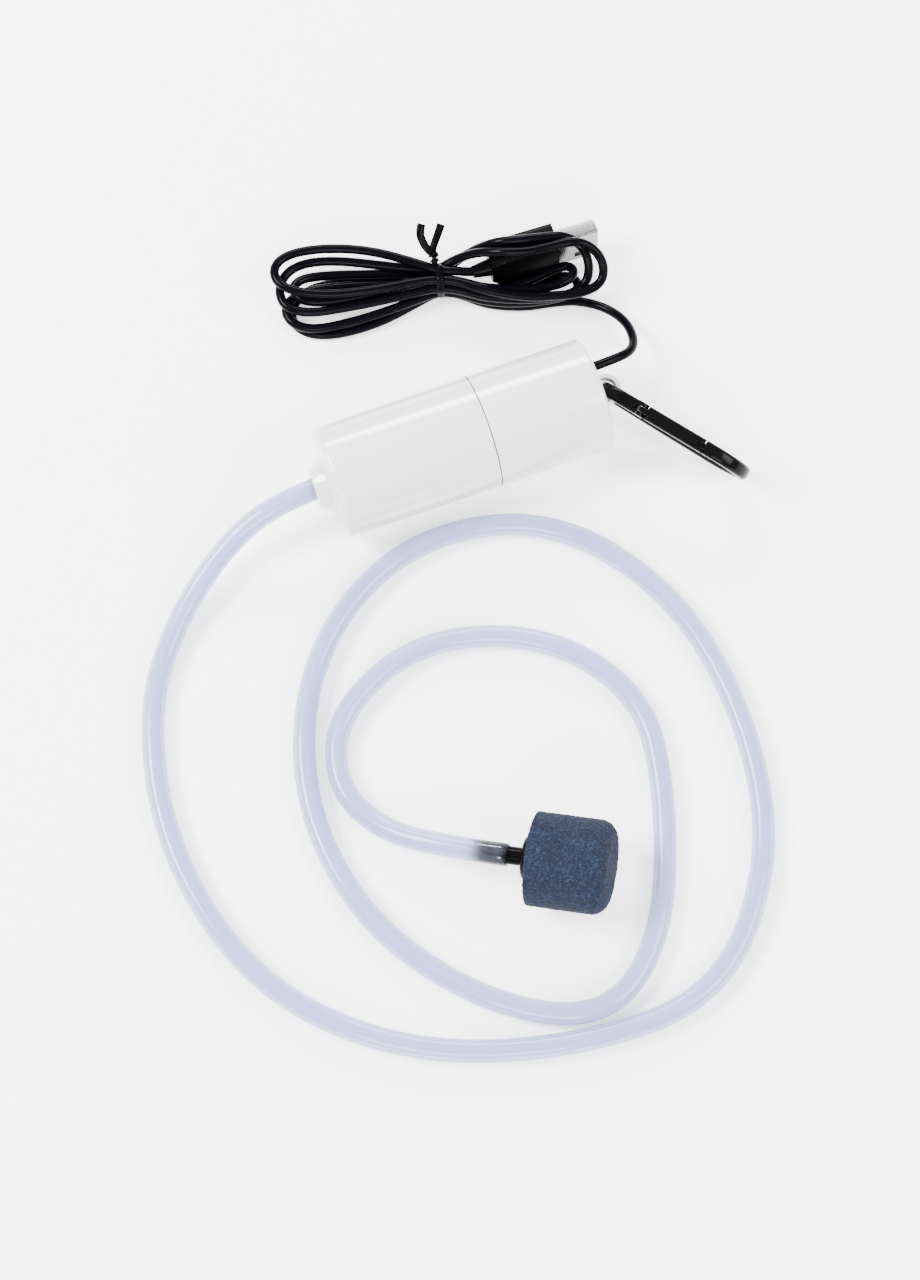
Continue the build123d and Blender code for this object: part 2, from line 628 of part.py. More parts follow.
with BuildPart() as motor_shaft:
    with BuildSketch(station(SHAFT_FRONT_X)):
        Circle(SHAFT_DIAMETER / 2)
    extrude(amount=SHAFT_REAR_X - SHAFT_FRONT_X)
save(motor_shaft, "motor_shaft")

# Laminated core: three arms, each ending in a curved shoe.
SHOE_THICKNESS = 1.5
CORE_HUB_RADIUS = 3.0
CORE_ARM_WIDTH = 2.6
COIL_DEPTH = CORE_RADIUS - SHOE_THICKNESS - CORE_HUB_RADIUS - 1.3
COIL_PLACE = CORE_HUB_RADIUS + 0.4 + COIL_DEPTH / 2
COIL_WIDTH = 0.69 * CORE_RADIUS

with BuildPart() as armature_core:
    with BuildSketch(station(CORE_X)):
        Circle(CORE_RADIUS)
        Circle(CORE_RADIUS - SHOE_THICKNESS, mode=Mode.SUBTRACT)
        with PolarLocations(CORE_RADIUS, CUP_COUNT, start_angle=SCREW_START):
            Rectangle(4.0, 1.8, mode=Mode.SUBTRACT)
        with PolarLocations(CORE_RADIUS / 2 - 0.4, CUP_COUNT, start_angle=CUP_START):
            Rectangle(CORE_RADIUS - 0.8, CORE_ARM_WIDTH)
        Circle(CORE_HUB_RADIUS)
        Circle(SHAFT_DIAMETER / 2, mode=Mode.SUBTRACT)
    extrude(amount=CORE_LENGTH)
save(armature_core, "armature_core")

with BuildPart() as windings:
    with BuildSketch(station(CORE_X - COIL_OVERHANG)):
        with PolarLocations(COIL_PLACE, CUP_COUNT, start_angle=CUP_START):
            RectangleRounded(COIL_DEPTH, COIL_WIDTH, COIL_DEPTH / 4)
    extrude(amount=CORE_LENGTH + 2 * COIL_OVERHANG)
    with BuildSketch(station(CORE_X)):
        with PolarLocations(COIL_PLACE, CUP_COUNT, start_angle=CUP_START):
            Rectangle(COIL_DEPTH + 0.8, CORE_ARM_WIDTH + 0.1)
    extrude(amount=CORE_LENGTH, mode=Mode.SUBTRACT)
save(windings, "windings")

with BuildPart() as commutator:
    with BuildSketch(station(BELL_X - 4.0)):
        Circle(COMMUTATOR_DIAMETER / 2)
        with PolarLocations(COMMUTATOR_DIAMETER / 2, CUP_COUNT, start_angle=SCREW_START):
            Rectangle(1.2, 0.3, mode=Mode.SUBTRACT)
        Circle(SHAFT_DIAMETER / 2, mode=Mode.SUBTRACT)
    extrude(amount=4.8)
save(commutator, "commutator")

with BuildPart() as shaft_washers:
    for washer_x in (MOTOR_X + CAN_WALL + 1.1, BELL_X + 1.0):
        with BuildSketch(station(washer_x)):
            Circle(2.2)
            Circle(SHAFT_DIAMETER / 2, mode=Mode.SUBTRACT)
        extrude(amount=0.4)
save(shaft_washers, "shaft_washers")

# Carbon blocks on copper leaves, one above and one below the commutator.
LEAF_START = COMMUTATOR_DIAMETER / 2 + 0.3
LEAF_END = TERMINAL_HEIGHT - 0.2
with BuildPart() as brushes:
    for side in (1, -1):
        with BuildSketch(station(BELL_X - 2.6)):
            with Locations((0, side * (COMMUTATOR_DIAMETER / 2 + 0.85))):
                Rectangle(1.8, 1.6)
        extrude(amount=2.0)
        with BuildSketch(station(BELL_X - 0.8)):
            with Locations((0, side * (LEAF_START + LEAF_END) / 2)):
                Rectangle(1.6, LEAF_END - LEAF_START)
        extrude(amount=0.3)
save(brushes, "brushes")

with BuildPart() as motor_terminals:
    with BuildSketch(station(BELL_X - 1.2)):
        with Locations((0, TERMINAL_HEIGHT), (0, -TERMINAL_HEIGHT)):
            Rectangle(2.3, 0.4)
    extrude(amount=BELL_PLATE + 5.2)
save(motor_terminals, "motor_terminals")

# Ceramic disc between the terminals, against sparking.
with BuildPart() as suppression_capacitor:
    with BuildSketch(station(MOTOR_REAR_X + 0.8)):
        Circle(2.6)
    extrude(amount=1.8)
    fillet(suppression_capacitor.edges(), 0.6)
    with BuildSketch(Plane.XY.offset(AXIS_HEIGHT - TERMINAL_HEIGHT + 0.3)):
        with Locations((MOTOR_REAR_X + 1.7, 0)):
            Circle(0.25)
    extrude(amount=2 * TERMINAL_HEIGHT - 0.6)
save(suppression_capacitor, "suppression_capacitor")

# === Cord inside the housing =====================================================

CORD_INNER_X = REAR_X - END_WALL - 2.8


def tube(path_points, radii, diameter):
    """A round cord along straight runs joined by tangent arcs."""
    with BuildPart() as cord:
        with BuildLine() as path:
            FilletPolyline(*path_points, radius=radii)
        with BuildSketch(Plane(origin=path.line @ 0, z_dir=path.line % 0)):
            Circle(diameter / 2)
        sweep(path=path.line)
    return cord


for colour, side in (("red", 1), ("black", -1)):
    lead_wire = tube(
        [
            (MOTOR_REAR_X + 2.2, 0.2, AXIS_HEIGHT + side * (TERMINAL_HEIGHT + 0.75)),
            (CORD_INNER_X - 2.0, 0.2, AXIS_HEIGHT + side * (TERMINAL_HEIGHT + 0.75)),
            (CORD_INNER_X - 2.0, CABLE_OFFSET, AXIS_HEIGHT + side * 0.6),
            (CORD_INNER_X, CABLE_OFFSET, AXIS_HEIGHT + side * 0.6),
        ],
        [1.2, 1.0],
        WIRE_DIAMETER,
    )
    save(lead_wire, f"lead_wire_{colour}")

# Nylon tie drawn tight round the cord, so a pull on it stops at the bush.
with BuildPart() as inner_cable_tie:
    with BuildSketch(station(CORD_INNER_X + 0.3)):
        with Locations((CABLE_OFFSET, 0)):
            Circle(CABLE_RADIUS + 0.9)
        with Locations((CABLE_OFFSET, CABLE_RADIUS + 1.4)):
            Rectangle(2.6, 2.0)
        with Locations((CABLE_OFFSET, 0)):
            Circle(CABLE_RADIUS + LIP_CLEARANCE, mode=Mode.SUBTRACT)
    extrude(amount=1.3)
save(inner_cable_tie, "inner_cable_tie")

# === Cord outside the housing ====================================================

# Corners of the straight runs, from the rear wall down to the hank on the floor.
CABLE_ROUTE = [
    (CORD_INNER_X, CABLE_OFFSET, AXIS_HEIGHT),
    (REAR_X + 8.0, CABLE_OFFSET, AXIS_HEIGHT),
    (REAR_X + 16.0, 10.2, 11.0),
    (56.0, 19.5, 6.0),
    (53.0, 27.5, 2.6),
    (44.2, 34.3, 1.5),
]


def bend_radii(route):
    """Radii of the arcs between the runs of a limp cord, gentler where runs are long."""
    corners = [Vector(*corner) for corner in route]
    radii = []
    for before, corner, after in zip(corners, corners[1:], corners[2:]):
        turn = (corner - before).get_angle(after - corner)
        shorter = min((corner - before).length, (after - corner).length)
        radii.append(0.45 * shorter / tan(radians(turn / 2)))
    return radii


cable_radii = bend_radii(CABLE_ROUTE)
usb_cable = tube(CABLE_ROUTE, cable_radii, CABLE_DIAMETER)
save(usb_cable, "usb_cable")
print("usb_cable bend radii", [round(radius, 1) for radius in cable_radii])

# === Hose and air stone ==========================================================

STONE_AXIS = unit(STONE_HEADING, STONE_TILT)
STONE_HEIGHT = STONE_DIAMETER / 2 * cos(radians(STONE_TILT)) + 0.1
STONE_FACE = Vector(STONE_PLACE[0], STONE_PLACE[1], STONE_HEIGHT)
HOSE_END = STONE_FACE - STONE_AXIS * (COLLAR_HEIGHT + NECK_LENGTH)
HOSE_LAST_RUN = 14.0


def stone_station(distance):
    """The plane across the stone's axis, a distance from the face with the nipple."""
    return Plane(origin=STONE_FACE + STONE_AXIS * distance, z_dir=STONE_AXIS)


# The hose leaves the boss, goes once round the outside of the coil, then spirals in.
HOSE_ROUTE = [
    (FRONT_X + END_WALL + 1.0, 0, AXIS_HEIGHT),
    (FRONT_X - 13.0, 0, AXIS_HEIGHT),
    (FRONT_X - 30.0, -4.0, 9.5),
    (-88.0, -18.0, HOSE_FLOOR),
    (-103.5, -40.0, HOSE_FLOOR),
    (-110.5, -78.0, HOSE_FLOOR),
    (-100.5, -119.5, HOSE_FLOOR),
    (-71.0, -148.5, HOSE_FLOOR),
    (-30.0, -162.5, HOSE_FLOOR),
    (11.0, -163.0, HOSE_FLOOR),
    (37.5, -132.5, HOSE_FLOOR),
    (45.0, -93.0, HOSE_FLOOR),
    (38.8, -54.5, HOSE_FLOOR),
    (14.5, -23.5, HOSE_FLOOR),
    (-24.0, -18.0, HOSE_FLOOR),
    (-56.5, -38.0, HOSE_FLOOR),
    (-73.0, -74.0, HOSE_FLOOR),
    (-69.0, -113.0, HOSE_FLOOR),
    (-46.5, -144.0, HOSE_FLOOR),
    (-19.0, -158.8, HOSE_FLOOR),
    (3.0, -143.0, HOSE_FLOOR),
    (17.5, -107.0, HOSE_FLOOR),
    (21.0, -80.0, HOSE_FLOOR),
    (3.0, -55.5, HOSE_FLOOR),
    (-29.0, -45.5, HOSE_FLOOR),
    (-56.0, -57.0, HOSE_FLOOR),
    (-63.5, -76.0, HOSE_FLOOR),
    (-56.0, -92.0, HOSE_FLOOR),
    tuple(HOSE_END - STONE_AXIS * HOSE_LAST_RUN),
    tuple(HOSE_END),
]

hose_radii = bend_radii(HOSE_ROUTE)
with BuildPart() as air_hose:
    with BuildLine() as hose_path:
        FilletPolyline(*HOSE_ROUTE, radius=hose_radii)
    with BuildSketch(Plane(origin=hose_path.line @ 0, z_dir=hose_path.line % 0)):
        Circle(HOSE_DIAMETER / 2)
        Circle(HOSE_BORE / 2, mode=Mode.SUBTRACT)
    sweep(path=hose_path.line)
save(air_hose, "air_hose")
print("air_hose bend radii", [round(radius, 1) for radius in hose_radii])
print("air_hose length", round(sum(edge.length for edge in hose_path.edges()), 1))

# Nipple: glued in the stone, with a collar on its face, a neck and a tail in the hose.
with BuildPart() as stone_nipple:
    with BuildSketch(stone_station(-COLLAR_HEIGHT)):
        Circle(COLLAR_DIAMETER / 2)
    extrude(amount=COLLAR_HEIGHT)
    fillet(stone_nipple.faces().sort_by(Axis(STONE_FACE, STONE_AXIS))[0].edges(), COLLAR_HEIGHT * 0.8)
    with BuildSketch(stone_station(-COLLAR_HEIGHT - NECK_LENGTH)):
        Circle(NECK_DIAMETER / 2)
    extrude(amount=NECK_LENGTH + COLLAR_HEIGHT)
    with BuildSketch(stone_station(-COLLAR_HEIGHT - NECK_LENGTH - BARB_LENGTH)):
        Circle(HOSE_BORE / 2)
    extrude(amount=BARB_LENGTH)
    with BuildSketch(stone_station(0)):
        Circle(SOCKET_DIAMETER / 2)
    extrude(amount=SOCKET_DEPTH - 2.0)
    with BuildSketch(stone_station(-COLLAR_HEIGHT - NECK_LENGTH - BARB_LENGTH)):
        Circle(NOZZLE_BORE / 2)
    extrude(amount=COLLAR_HEIGHT + NECK_LENGTH + BARB_LENGTH + SOCKET_DEPTH, mode=Mode.SUBTRACT)
save(stone_nipple, "stone_nipple")

# Porous stone: a sharp rim round the nipple's face, a rounded far end.
with BuildPart() as air_stone:
    with BuildSketch(stone_station(0)):
        Circle(STONE_DIAMETER / 2)
    extrude(amount=STONE_LENGTH)
    fillet(air_stone.faces().sort_by(Axis(STONE_FACE, STONE_AXIS))[-1].edges(), STONE_ROUND)
    with BuildSketch(stone_station(0)):
        Circle(SOCKET_DIAMETER / 2)
    extrude(amount=SOCKET_DEPTH, mode=Mode.SUBTRACT)
save(air_stone, "air_stone")

# === Snap hook ===================================================================

# Seen in its own plane: x from the narrow end in the eyelet to the wide end, y towards
# the gate. The rod's middle runs round two circles and the two lines that touch both.
HOOK_AXIS = unit(HOOK_HEADING, -HOOK_DROP)
HOOK_SIDE = unit(HOOK_HEADING - 90, 0)
HOOK_UP = HOOK_SIDE.cross(HOOK_AXIS).normalized()
HOOK_GATEWARD = HOOK_UP * cos(radians(HOOK_LEAN)) + HOOK_SIDE * sin(radians(HOOK_LEAN))
HOOK_NORMAL = HOOK_AXIS.cross(HOOK_GATEWARD)
EYELET_PLACE = Vector(REAR_X + EYELET_REACH, 0, AXIS_HEIGHT)
HOOK = Plane(origin=EYELET_PLACE, x_dir=HOOK_AXIS, z_dir=HOOK_NORMAL)

NARROW_RADIUS = (HOOK_SMALL_END - ROD_THICKNESS) / 2
WIDE_RADIUS = (HOOK_WIDTH - ROD_THICKNESS) / 2
CENTRE_DISTANCE = HOOK_LENGTH - ROD_THICKNESS - NARROW_RADIUS - WIDE_RADIUS
WIDE_CENTRE = NARROW_RADIUS + CENTRE_DISTANCE
FLARE = degrees(asin((WIDE_RADIUS - NARROW_RADIUS) / CENTRE_DISTANCE))
NARROW_TOUCH = (
    NARROW_RADIUS - NARROW_RADIUS * sin(radians(FLARE)),
    NARROW_RADIUS * cos(radians(FLARE)),
)


def along_gate(distance):
    """A point on the gate's side of the rod, a distance from where the line begins."""
    return (
        NARROW_TOUCH[0] + distance * cos(radians(FLARE)),
        NARROW_TOUCH[1] + distance * sin(radians(FLARE)),
    )


def gate_block(start, end, thickness, height):
    """A block along the gate's line, centred on it."""
    middle = along_gate((start + end) / 2)
    with BuildPart(HOOK) as block:
        with Locations(Location((middle[0], middle[1], 0), (0, 0, FLARE))):
            Box(end - start, height, thickness)
    return block.part


RIVET = along_gate(RIVET_PLACE)
FORK_RADIUS = ROD_THICKNESS / 2
SLOT_WIDTH = TONGUE_THICKNESS + 2 * TONGUE_CLEARANCE
NOSE_LENGTH = 2.4
fork_slot = gate_block(
    RIVET_PLACE - FORK_RADIUS - GATE_GAP, RIVET_PLACE + ROD_WIDTH, SLOT_WIDTH, 2 * ROD_THICKNESS
)
nose_tongue = gate_block(
    NOSE_PLACE - NOSE_LENGTH, NOSE_PLACE + 1.0, TONGUE_THICKNESS, ROD_THICKNESS - 1.4
)
nose_slot = gate_block(
    NOSE_PLACE - NOSE_LENGTH - GATE_GAP, NOSE_PLACE, SLOT_WIDTH, 2 * ROD_THICKNESS
)
gate_tongue = gate_block(
    RIVET_PLACE, RIVET_PLACE + ROD_WIDTH, TONGUE_THICKNESS, 2 * FORK_RADIUS
)

with BuildPart() as carabiner_body:
    with BuildLine(HOOK) as hook_path:
        nose_run = Line(along_gate(NOSE_PLACE), along_gate(CENTRE_DISTANCE * cos(radians(FLARE))))
        wide_end = CenterArc((WIDE_CENTRE, 0), WIDE_RADIUS, 90 + FLARE, -180 - 2 * FLARE)
        spine = Line(wide_end @ 1, (NARROW_TOUCH[0], -NARROW_TOUCH[1]))
        CenterArc((NARROW_RADIUS, 0), NARROW_RADIUS, -90 - FLARE, -180 + 2 * FLARE)
        Line(NARROW_TOUCH, RIVET)
    with BuildSketch(Plane(origin=hook_path.line @ 0, x_dir=HOOK_NORMAL, z_dir=hook_path.line % 0)):
        RectangleRounded(ROD_WIDTH, ROD_THICKNESS, ROD_ROUND)
    sweep(path=hook_path.line)
    with BuildSketch(HOOK.offset(-ROD_WIDTH / 2)):
        with Locations(RIVET):
            Circle(FORK_RADIUS)
    extrude(amount=ROD_WIDTH)
    add(fork_slot, mode=Mode.SUBTRACT)
    add(nose_tongue)
    with BuildSketch(HOOK.offset(-ROD_WIDTH / 2)):
        with Locations(RIVET):
            Circle(RIVET_DIAMETER / 2)
    extrude(amount=ROD_WIDTH, mode=Mode.SUBTRACT)
save(carabiner_body, "carabiner_body")

# Gate: a tongue on the rivet, a bar, and a slot that takes the nose of the body.
with BuildPart() as carabiner_gate:
    with BuildSketch(Plane(
        origin=HOOK.from_local_coords((*along_gate(RIVET_PLACE + FORK_RADIUS + GATE_GAP), 0)),
        x_dir=HOOK_NORMAL,
        z_dir=HOOK_AXIS * cos(radians(FLARE)) + HOOK_GATEWARD * sin(radians(FLARE)),
    )):
        RectangleRounded(ROD_WIDTH, ROD_THICKNESS, ROD_ROUND)
    extrude(amount=NOSE_PLACE - RIVET_PLACE - FORK_RADIUS - 2 * GATE_GAP)
    add(nose_slot, mode=Mode.SUBTRACT)
    add(gate_tongue)
    with BuildSketch(HOOK.offset(-TONGUE_THICKNESS / 2)):
        with Locations(RIVET):
            Circle(FORK_RADIUS)
    extrude(amount=TONGUE_THICKNESS)
    with BuildSketch(HOOK.offset(-ROD_WIDTH / 2)):
        with Locations(RIVET):
            Circle(RIVET_DIAMETER / 2 + PIN_CLEARANCE)
    extrude(amount=ROD_WIDTH, mode=Mode.SUBTRACT)
save(carabiner_gate, "carabiner_gate")

with BuildPart() as gate_rivet:
    with BuildSketch(HOOK.offset(-ROD_WIDTH / 2)):
        with Locations(RIVET):
            Circle(RIVET_DIAMETER / 2)
    extrude(amount=ROD_WIDTH)
    chamfer(gate_rivet.faces().filter_by(Plane(origin=(0, 0, 0), z_dir=HOOK_NORMAL)).edges(), 0.15)
save(gate_rivet, "gate_rivet")

# === USB plug ====================================================================

# The plug stands on one narrow side; the wide faces lean a little. Distances are
# measured from the root of the metal shell, forwards.
PLUG_AXIS = unit(PLUG_HEADING, 0)
PLUG_WIDE = Vector(0, 0, cos(radians(PLUG_LEAN))) + unit(PLUG_HEADING + 90, 0) * sin(radians(PLUG_LEAN))
PLUG_HEIGHT = (
    OVERMOULD_WIDTH / 2 * cos(radians(PLUG_LEAN))
    + OVERMOULD_THICKNESS / 2 * sin(radians(PLUG_LEAN))
    + 0.1
)
PLUG_ROOT = Vector(PLUG_PLACE[0], PLUG_PLACE[1], PLUG_HEIGHT)
SHELL_FRONT_ROUND = 0.6


def plug_station(distance):
    """The plane across the plug; local x along its width."""
    return Plane(origin=PLUG_ROOT + PLUG_AXIS * distance, x_dir=PLUG_WIDE, z_dir=PLUG_AXIS)


with BuildPart() as plug_overmould:
    with BuildSketch(plug_station(-OVERMOULD_LENGTH)):
        RectangleRounded(OVERMOULD_WIDTH, OVERMOULD_THICKNESS, OVERMOULD_ROUND)
    extrude(amount=OVERMOULD_LENGTH)
    with BuildSketch(plug_station(-OVERMOULD_LENGTH - TAPER_LENGTH)):
        RectangleRounded(TAPER_WIDTH, TAPER_THICKNESS, OVERMOULD_ROUND)
    with BuildSketch(plug_station(-OVERMOULD_LENGTH)):
        RectangleRounded(OVERMOULD_WIDTH, OVERMOULD_THICKNESS, OVERMOULD_ROUND)
    loft()
    with BuildSketch(plug_station(-OVERMOULD_LENGTH - TAPER_LENGTH - RELIEF_LENGTH)):
        Circle(RELIEF_DIAMETER / 2 - 0.8)
    with BuildSketch(plug_station(-OVERMOULD_LENGTH - TAPER_LENGTH)):
        Circle(RELIEF_DIAMETER / 2)
    loft()
    with BuildSketch(plug_station(-SHELL_SEAT)):
        RectangleRounded(SHELL_WIDTH, SHELL_THICKNESS, SHELL_FRONT_ROUND)
    extrude(amount=SHELL_SEAT, mode=Mode.SUBTRACT)
save(plug_overmould, "plug_overmould")

with BuildPart() as plug_shell:
    with BuildSketch(plug_station(-SHELL_SEAT)):
        RectangleRounded(SHELL_WIDTH, SHELL_THICKNESS, SHELL_FRONT_ROUND)
        Rectangle(SHELL_WIDTH - 2 * SHELL_SHEET, SHELL_THICKNESS - 2 * SHELL_SHEET, mode=Mode.SUBTRACT)
    extrude(amount=SHELL_SEAT + SHELL_LENGTH)
    with BuildSketch(Plane(
        origin=PLUG_ROOT + PLUG_AXIS * (SHELL_LENGTH - LATCH_SETBACK),
        x_dir=PLUG_WIDE,
        z_dir=PLUG_AXIS.cross(PLUG_WIDE),
    )):
        with Locations((LATCH_SPACING / 2, 0), (-LATCH_SPACING / 2, 0)):
            Rectangle(LATCH_HOLE, LATCH_HOLE)
    extrude(amount=SHELL_THICKNESS, both=True, mode=Mode.SUBTRACT)
save(plug_shell, "plug_shell")

# Tongue that carries the four contacts, in the half of the shell away from the front.
with BuildPart() as plug_insulator:
    with BuildSketch(plug_station(-SHELL_SEAT)):
        with Locations((0, -SHELL_THICKNESS / 4)):
            Rectangle(SHELL_WIDTH - 2 * SHELL_SHEET - 0.2, SHELL_THICKNESS / 2 - 2 * SHELL_SHEET)
    extrude(amount=SHELL_SEAT + SHELL_LENGTH - 1.2)
save(plug_insulator, "plug_insulator")

with BuildPart() as plug_contacts:
    with BuildSketch(plug_station(1.6)):
        for place in (-3.5, -1.0, 1.0, 3.5):
            with Locations((place, -SHELL_SHEET / 2)):
                Rectangle(1.0, SHELL_SHEET)
    extrude(amount=SHELL_LENGTH - 3.4)
save(plug_contacts, "plug_contacts")

# === Hank and its tie ============================================================

# The spare cord is folded to and fro and tied at the waist. One solid takes the place
# of all the strands: two flat lobes and a round waist, with room left for the plug.
HANK_AXIS = unit(HANK_HEADING, 0)
HANK_SIDE = unit(HANK_HEADING + 90, 0)
WAIST = Vector(WAIST_PLACE[0], WAIST_PLACE[1], 0)
LOBE_LENGTH = 44.5
LOBE_WIDTH = 23.0
LOBE_ROUND = 3.0
WAIST_LENGTH = 12.0
WAIST_HEIGHT = WAIST_DIAMETER / 2 + TIE_THICKNESS + 0.1
PLUG_ROOM = 0.3
KNOT_PLACE = Vector(12.4, 55.6, 10.2)
TAIL_WIDTH = 2.0
TAIL_LENGTHS = (9.2, 8.4)
TAIL_SLOPES = (48.0, 46.0)
TAIL_HEADINGS = (112.0, 72.0)

with BuildPart() as usb_cable_hank:
    with BuildSketch(Plane(origin=WAIST, x_dir=HANK_AXIS, z_dir=(0, 0, 1))):
        with Locations((-LOBE_LENGTH / 2, 0.5), (LOBE_LENGTH / 2, 0)):
            Ellipse(LOBE_LENGTH / 2, LOBE_WIDTH / 2)
    extrude(amount=HANK_HEIGHT)
    fillet(usb_cable_hank.edges().filter_by(GeomType.ELLIPSE), LOBE_ROUND)
    with BuildSketch(Plane(origin=WAIST, x_dir=HANK_AXIS, z_dir=(0, 0, 1))):
        Rectangle(WAIST_LENGTH, LOBE_WIDTH)
    extrude(amount=HANK_HEIGHT, mode=Mode.SUBTRACT)
    with BuildSketch(Plane(
        origin=WAIST + Vector(0, 0, WAIST_HEIGHT) - HANK_AXIS * WAIST_LENGTH,
        z_dir=HANK_AXIS,
    )):
        Circle(WAIST_DIAMETER / 2)
    extrude(amount=2 * WAIST_LENGTH)
    with BuildSketch(plug_station(-OVERMOULD_LENGTH - TAPER_LENGTH - PLUG_ROOM)):
        with Locations((0, OVERMOULD_THICKNESS / 2 + PLUG_ROOM - LOBE_WIDTH / 2)):
            Rectangle(2 * OVERMOULD_WIDTH, LOBE_WIDTH)
    extrude(amount=LOBE_LENGTH, mode=Mode.SUBTRACT)
    with BuildSketch(plug_station(-OVERMOULD_LENGTH - TAPER_LENGTH - RELIEF_LENGTH)):
        Circle(RELIEF_DIAMETER / 2 + PLUG_ROOM)
        with Locations((RELIEF_DIAMETER, 0)):
            Rectangle(2 * RELIEF_DIAMETER, RELIEF_DIAMETER + 2 * PLUG_ROOM)
    extrude(amount=RELIEF_LENGTH, mode=Mode.SUBTRACT)
save(usb_cable_hank, "usb_cable_hank")

# Twist tie: a band round the waist, twisted into a knot, with two flat tails.
BAND = Plane(
    origin=WAIST + Vector(0, 0, WAIST_HEIGHT) - HANK_AXIS * (TIE_WIDTH / 2),
    x_dir=HANK_SIDE,
    z_dir=HANK_AXIS,
)
with BuildPart() as cable_tie:
    with BuildSketch(BAND):
        Circle(WAIST_DIAMETER / 2 + TIE_THICKNESS)
        Circle(WAIST_DIAMETER / 2 + LIP_CLEARANCE, mode=Mode.SUBTRACT)
    extrude(amount=TIE_WIDTH)
    with Locations(KNOT_PLACE):
        Sphere(1.7)
    for heading, slope, length in zip(TAIL_HEADINGS, TAIL_SLOPES, TAIL_LENGTHS):
        with BuildSketch(Plane(
            origin=KNOT_PLACE,
            x_dir=unit(heading - 90, 0),
            z_dir=unit(heading, slope),
        )):
            Rectangle(TAIL_WIDTH, TIE_THICKNESS)
        extrude(amount=length)
save(cable_tie, "cable_tie")
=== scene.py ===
"""Pocket aquarium air pump: white two-piece housing, air hose with a porous stone,
a cord whose spare length is tied in a hank, with its plug, and a snap hook."""

import json
import math

import bmesh
import bpy
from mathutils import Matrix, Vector, noise


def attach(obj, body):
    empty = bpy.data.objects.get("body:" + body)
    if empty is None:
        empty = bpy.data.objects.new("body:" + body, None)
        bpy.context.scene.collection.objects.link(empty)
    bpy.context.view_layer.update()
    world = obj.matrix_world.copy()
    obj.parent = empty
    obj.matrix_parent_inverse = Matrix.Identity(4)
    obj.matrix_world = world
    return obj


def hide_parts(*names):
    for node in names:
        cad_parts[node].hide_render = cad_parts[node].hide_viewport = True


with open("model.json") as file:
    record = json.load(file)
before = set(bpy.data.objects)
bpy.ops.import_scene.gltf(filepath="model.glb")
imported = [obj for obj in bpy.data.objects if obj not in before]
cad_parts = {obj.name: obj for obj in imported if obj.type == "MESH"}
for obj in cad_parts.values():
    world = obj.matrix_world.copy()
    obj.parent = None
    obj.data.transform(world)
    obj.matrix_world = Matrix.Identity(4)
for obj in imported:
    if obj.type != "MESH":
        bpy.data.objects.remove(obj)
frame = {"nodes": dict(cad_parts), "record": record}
NODES = frame["nodes"]
BODY_OF = {n: body for body, members in frame["record"]["behaviour"]["bodies"].items() for n in members}
SLOT_OF = {s["node"]: s["material_slot"] for s in frame["record"]["subparts"]}
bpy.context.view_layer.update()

MM = 0.001
AXIS_HEIGHT = 15.5


def mm(*values):
    """A point given in millimetres, in metres."""
    return Vector(values) * MM


# --- Camera and light ------------------------------------------------------------
EYE = mm(-106.7, -289.3, 766.7)
LOOK_AT = mm(-19.43, -51.02, 8.0)

camera_data = bpy.data.cameras.new("camera")
camera_data.lens = 85.0
camera_data.sensor_fit = "VERTICAL"
camera_data.sensor_height = 36.0
camera_data.clip_end = 20.0
camera = bpy.data.objects.new("camera", camera_data)
bpy.context.scene.collection.objects.link(camera)
camera.location = EYE
camera.rotation_euler = (LOOK_AT - EYE).to_track_quat("-Z", "Y").to_euler()
bpy.context.scene.camera = camera


def lamp(name, place, aim, size, power, tall=None):
    """A soft rectangular studio light."""
    data = bpy.data.lights.new(name, "AREA")
    data.shape = "RECTANGLE"
    data.size = size
    data.size_y = tall or size
    data.energy = power
    holder = bpy.data.objects.new(name, data)
    bpy.context.scene.collection.objects.link(holder)
    holder.location = place
    holder.rotation_euler = (Vector(aim) - Vector(place)).to_track_quat("-Z", "Y").to_euler()
    return holder


lamp("key_light", (-0.85, 0.35, 1.05), (0, -0.03, 0), 0.6, 60.0, 0.45)
lamp("fill_light", (0.85, -0.75, 1.0), (0, -0.05, 0), 0.9, 45.0, 0.9)
lamp("front_light", (-0.5, -1.1, 0.8), (0, -0.05, 0), 0.8, 30.0, 0.5)
lamp("back_light", (0.25, 0.95, 0.7), (0, 0, 0), 0.8, 30.0, 0.25)

world = bpy.data.worlds.new("studio")
world.use_nodes = True
world.node_tree.nodes["Background"].inputs["Color"].default_value = (1.0, 1.0, 1.0, 1.0)
world.node_tree.nodes["Background"].inputs["Strength"].default_value = 0.8
bpy.context.scene.world = world


